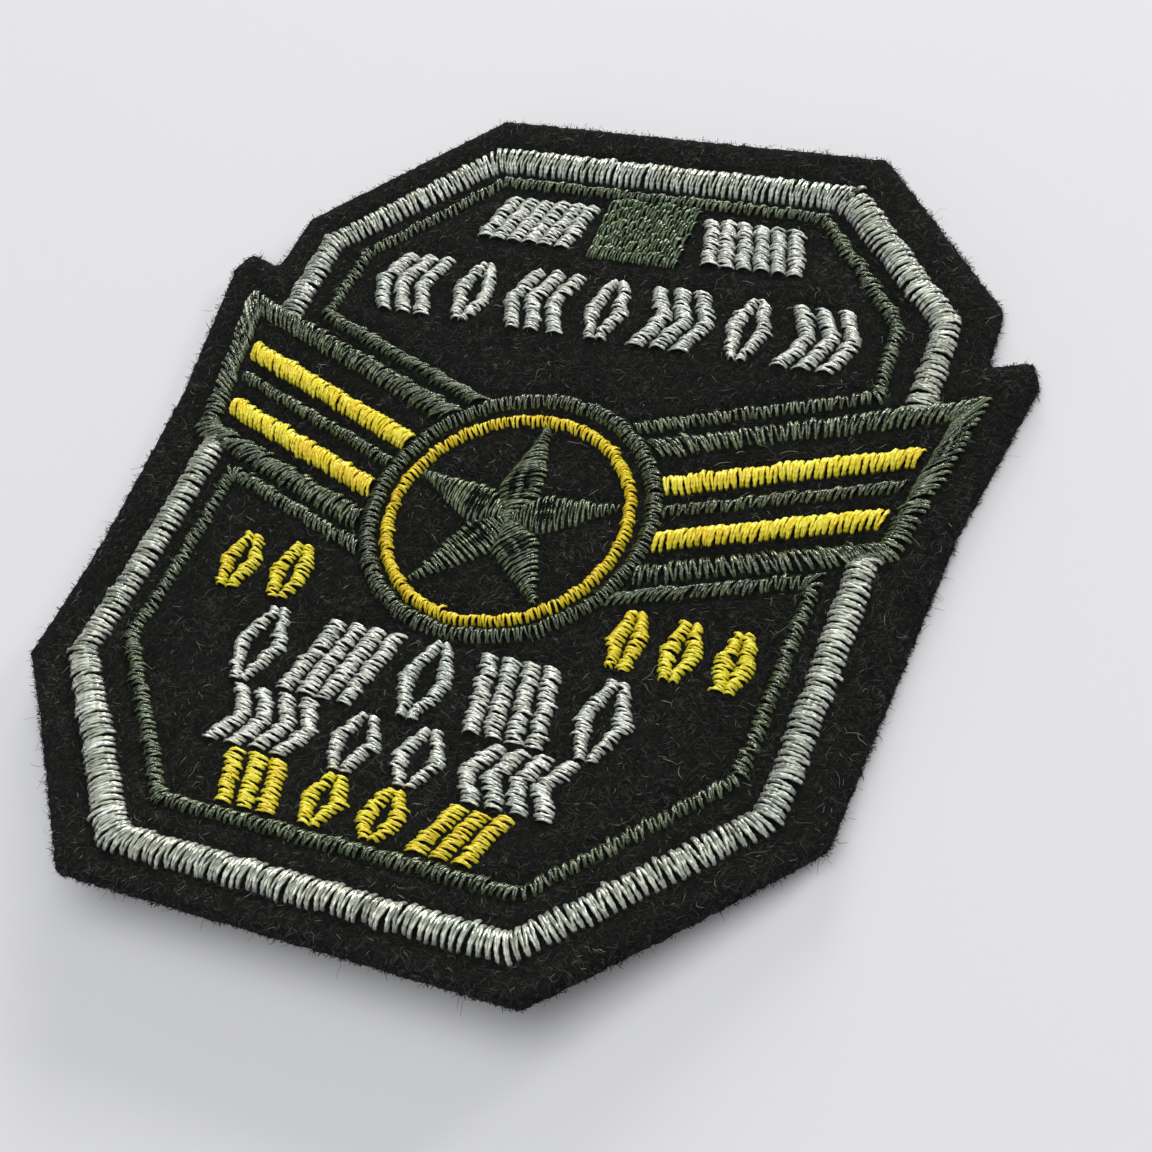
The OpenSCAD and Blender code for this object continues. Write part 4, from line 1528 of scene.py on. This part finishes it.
def felt_material(name):
    """Matted wool: a dark mottled ground, and hairs lying over it in several directions."""
    material, tree = fresh_material(name)
    place = place_of(tree)
    matted = noise_of(tree, place, MATTED, 5.0, 0.75)
    ground = ramp(tree, matted, [(0.40, FELT_DARK), (0.64, FELT_LIGHT)])
    hairy = hairs_laid(tree, place, HEADINGS[0])
    for heading in HEADINGS[1:]:
        hairy = blended(tree, 1.0, hairy, hairs_laid(tree, place, heading), "LIGHTEN")
    worn = greys(tree, noise_of(tree, place, PATCHES, 3.0, 0.6), (0.35, 0.35), (0.65, 1.0))
    shown = blended(tree, 1.0, hairy, worn, "MULTIPLY")
    dress(tree, {
        "Base Color": blended(tree, shown, ground, FELT_HAIR),
        "Roughness": 0.95,
        "Specular IOR Level": 0.04,
        "Sheen Weight": 0.01,
        "Sheen Roughness": 0.6,
        "Normal": bumped(tree, blended(tree, 0.5, matted, hairy), 0.9, 0.16 * MM),
    })
    return material


print("directions of the hairs:", len(HEADINGS))

# %% Loose wool
WOOL_DARK = (0.0045, 0.0045, 0.0040)
WOOL_LIGHT = (0.44, 0.42, 0.39)


def nap_material(name):
    """Loose wool: most fibres as dark as the felt, a few pale ones that catch the light."""
    material, tree = fresh_material(name)
    grey = mix(np.array(WOOL_DARK), np.array(WOOL_LIGHT), 0.20)
    stops = [(0.50, WOOL_DARK), (0.88, grey), (1.0, WOOL_LIGHT)]
    dress(tree, {
        "Base Color": ramp(tree, value_in(tree, "thread_tone"), stops),
        "Roughness": 0.7,
        "Specular IOR Level": 0.10,
    })
    return material


felt.data.materials.append(felt_material("matted_felt"))
wool = nap_material("wool_fibres")
naps = [nap_face, nap_short, nap_edge]
for piece in naps:
    piece.data.materials.append(wool)
print("materials made:", len(bpy.data.materials))

# %% [markdown]
# ## Tell the frame what each piece is
# Each stitched piece stands for its solid, rides on the one body of the patch and takes its finish from
# the slot that the record gives the solid. The felt rides on the same body, so everything sewn into it
# goes with it.

SLOTS = {part["node"]: part["material_slot"] for part in frame["record"]["subparts"]}
for node, piece in stitched.items():
    piece.data.materials.append(THREADS[SLOTS[node]])
    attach(piece, "root")
    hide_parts(node)
for piece in [felt, *naps]:
    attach(piece, "root")
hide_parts("felt_base")

# %% [markdown]
# ## Floor, light and camera
# The patch lies on a plain pale floor. Glossy thread shows the room that it reflects, so the room is
# dim apart from a thin bright band at its horizon, and two low windows stand behind the patch.
# Thread ends that bend away from the camera flash in them, and the crowns of dark threads stay dark.
# A weak window on the near side lifts the shadows, and a wide light above gives the floor its
# brightness and keeps the shadows soft and pale.

# %% Floor
REACH = 1.5
# The floor lies this far below the felt, so that the two don't flicker
FLOOR_DROP = 0.02 * MM
floor_mesh = bpy.data.meshes.new("studio_floor")
floor_mesh.from_pydata([(-REACH, -REACH, 0), (REACH, -REACH, 0), (REACH, REACH, 0), (-REACH, REACH, 0)],
                       [], [(0, 1, 2, 3)])
floor = bpy.data.objects.new("studio_floor", floor_mesh)
bpy.context.scene.collection.objects.link(floor)
floor.location.z = -FLOOR_DROP
paper, paper_tree = fresh_material("pale_floor")
dress(paper_tree, {"Base Color": (0.74, 0.735, 0.75), "Roughness": 0.9, "Specular IOR Level": 0.1})
floor_mesh.materials.append(paper)
print("floor side in metres:", 2 * REACH)

# %% Lights
# Columns: place, side of the square, power, colour
LIGHTS = {
    "window": ((0.39, 0.62, 0.265), 0.15, 1.8, (1.0, 0.99, 0.96)),
    "far_window": ((-0.20, 0.74, 0.235), 0.34, 3.5, (1.0, 0.99, 0.97)),
    "near_window": ((-0.30, -0.72, 0.14), 0.26, 0.9, (0.90, 0.95, 1.0)),
    "ceiling_light": ((0.06, -0.12, 0.90), 1.00, 7.1, (0.98, 0.99, 1.0)),
}


def soft_light(name, place, size, power, colour):
    """A square soft light aimed at the middle of the patch."""
    data = bpy.data.lights.new(name, "AREA")
    data.size = size
    data.energy = power
    data.color = colour
    lamp = bpy.data.objects.new(name, data)
    lamp.location = place
    lamp.rotation_euler = (-Vector(place)).to_track_quat("-Z", "Y").to_euler()
    bpy.context.scene.collection.objects.link(lamp)


for name, light in LIGHTS.items():
    soft_light(name, *light)
print("lights:", len(LIGHTS))

# %% Room
# Brightness of the room by height: bright at the horizon, dim above. Columns: sine of height, colour
ROOM = [(0.0, (1.0, 1.0, 1.0)), (0.08, (0.50, 0.50, 0.505)), (0.16, (0.09, 0.09, 0.093)),
        (0.50, (0.030, 0.031, 0.033)), (1.0, (0.040, 0.041, 0.043))]
ROOM_STRENGTH = 3.5
world = bpy.data.worlds.new("pale_room")
world.use_nodes = True
world_tree = world.node_tree
sky = node_of(world_tree, "ShaderNodeTexCoord", {}).outputs["Generated"]
heading = node_of(world_tree, "ShaderNodeSeparateXYZ", {"Vector": sky})
background = world_tree.nodes["Background"]
feed(world_tree, background.inputs["Color"], ramp(world_tree, heading.outputs["Z"], ROOM))
feed(world_tree, background.inputs["Strength"], ROOM_STRENGTH)
bpy.context.scene.world = world
bpy.context.scene.view_settings.view_transform = "Standard"
print("room strength:", ROOM_STRENGTH)

# %% Camera
CAMERA_AT = Vector((73.70, -90.64, 137.191)) * MM
LOOKS_AT = Vector((8.95, -7.41, 1.5)) * MM
ROLL = -20.295
LENS = 59.72
camera_data = bpy.data.cameras.new("camera")
camera_data.lens = LENS
camera_data.sensor_width = 36.0
camera_data.clip_start = 0.01
camera_data.clip_end = 10.0
camera = bpy.data.objects.new("camera", camera_data)
towards = (LOOKS_AT - CAMERA_AT).to_track_quat("-Z", "Y").to_matrix().to_4x4()
rolled = Matrix.Rotation(math.radians(ROLL), 4, "Z")
camera.matrix_world = Matrix.Translation(CAMERA_AT) @ towards @ rolled
bpy.context.scene.collection.objects.link(camera)
bpy.context.scene.camera = camera
print("camera stands", round((LOOKS_AT - CAMERA_AT).length / MM), "mm away")
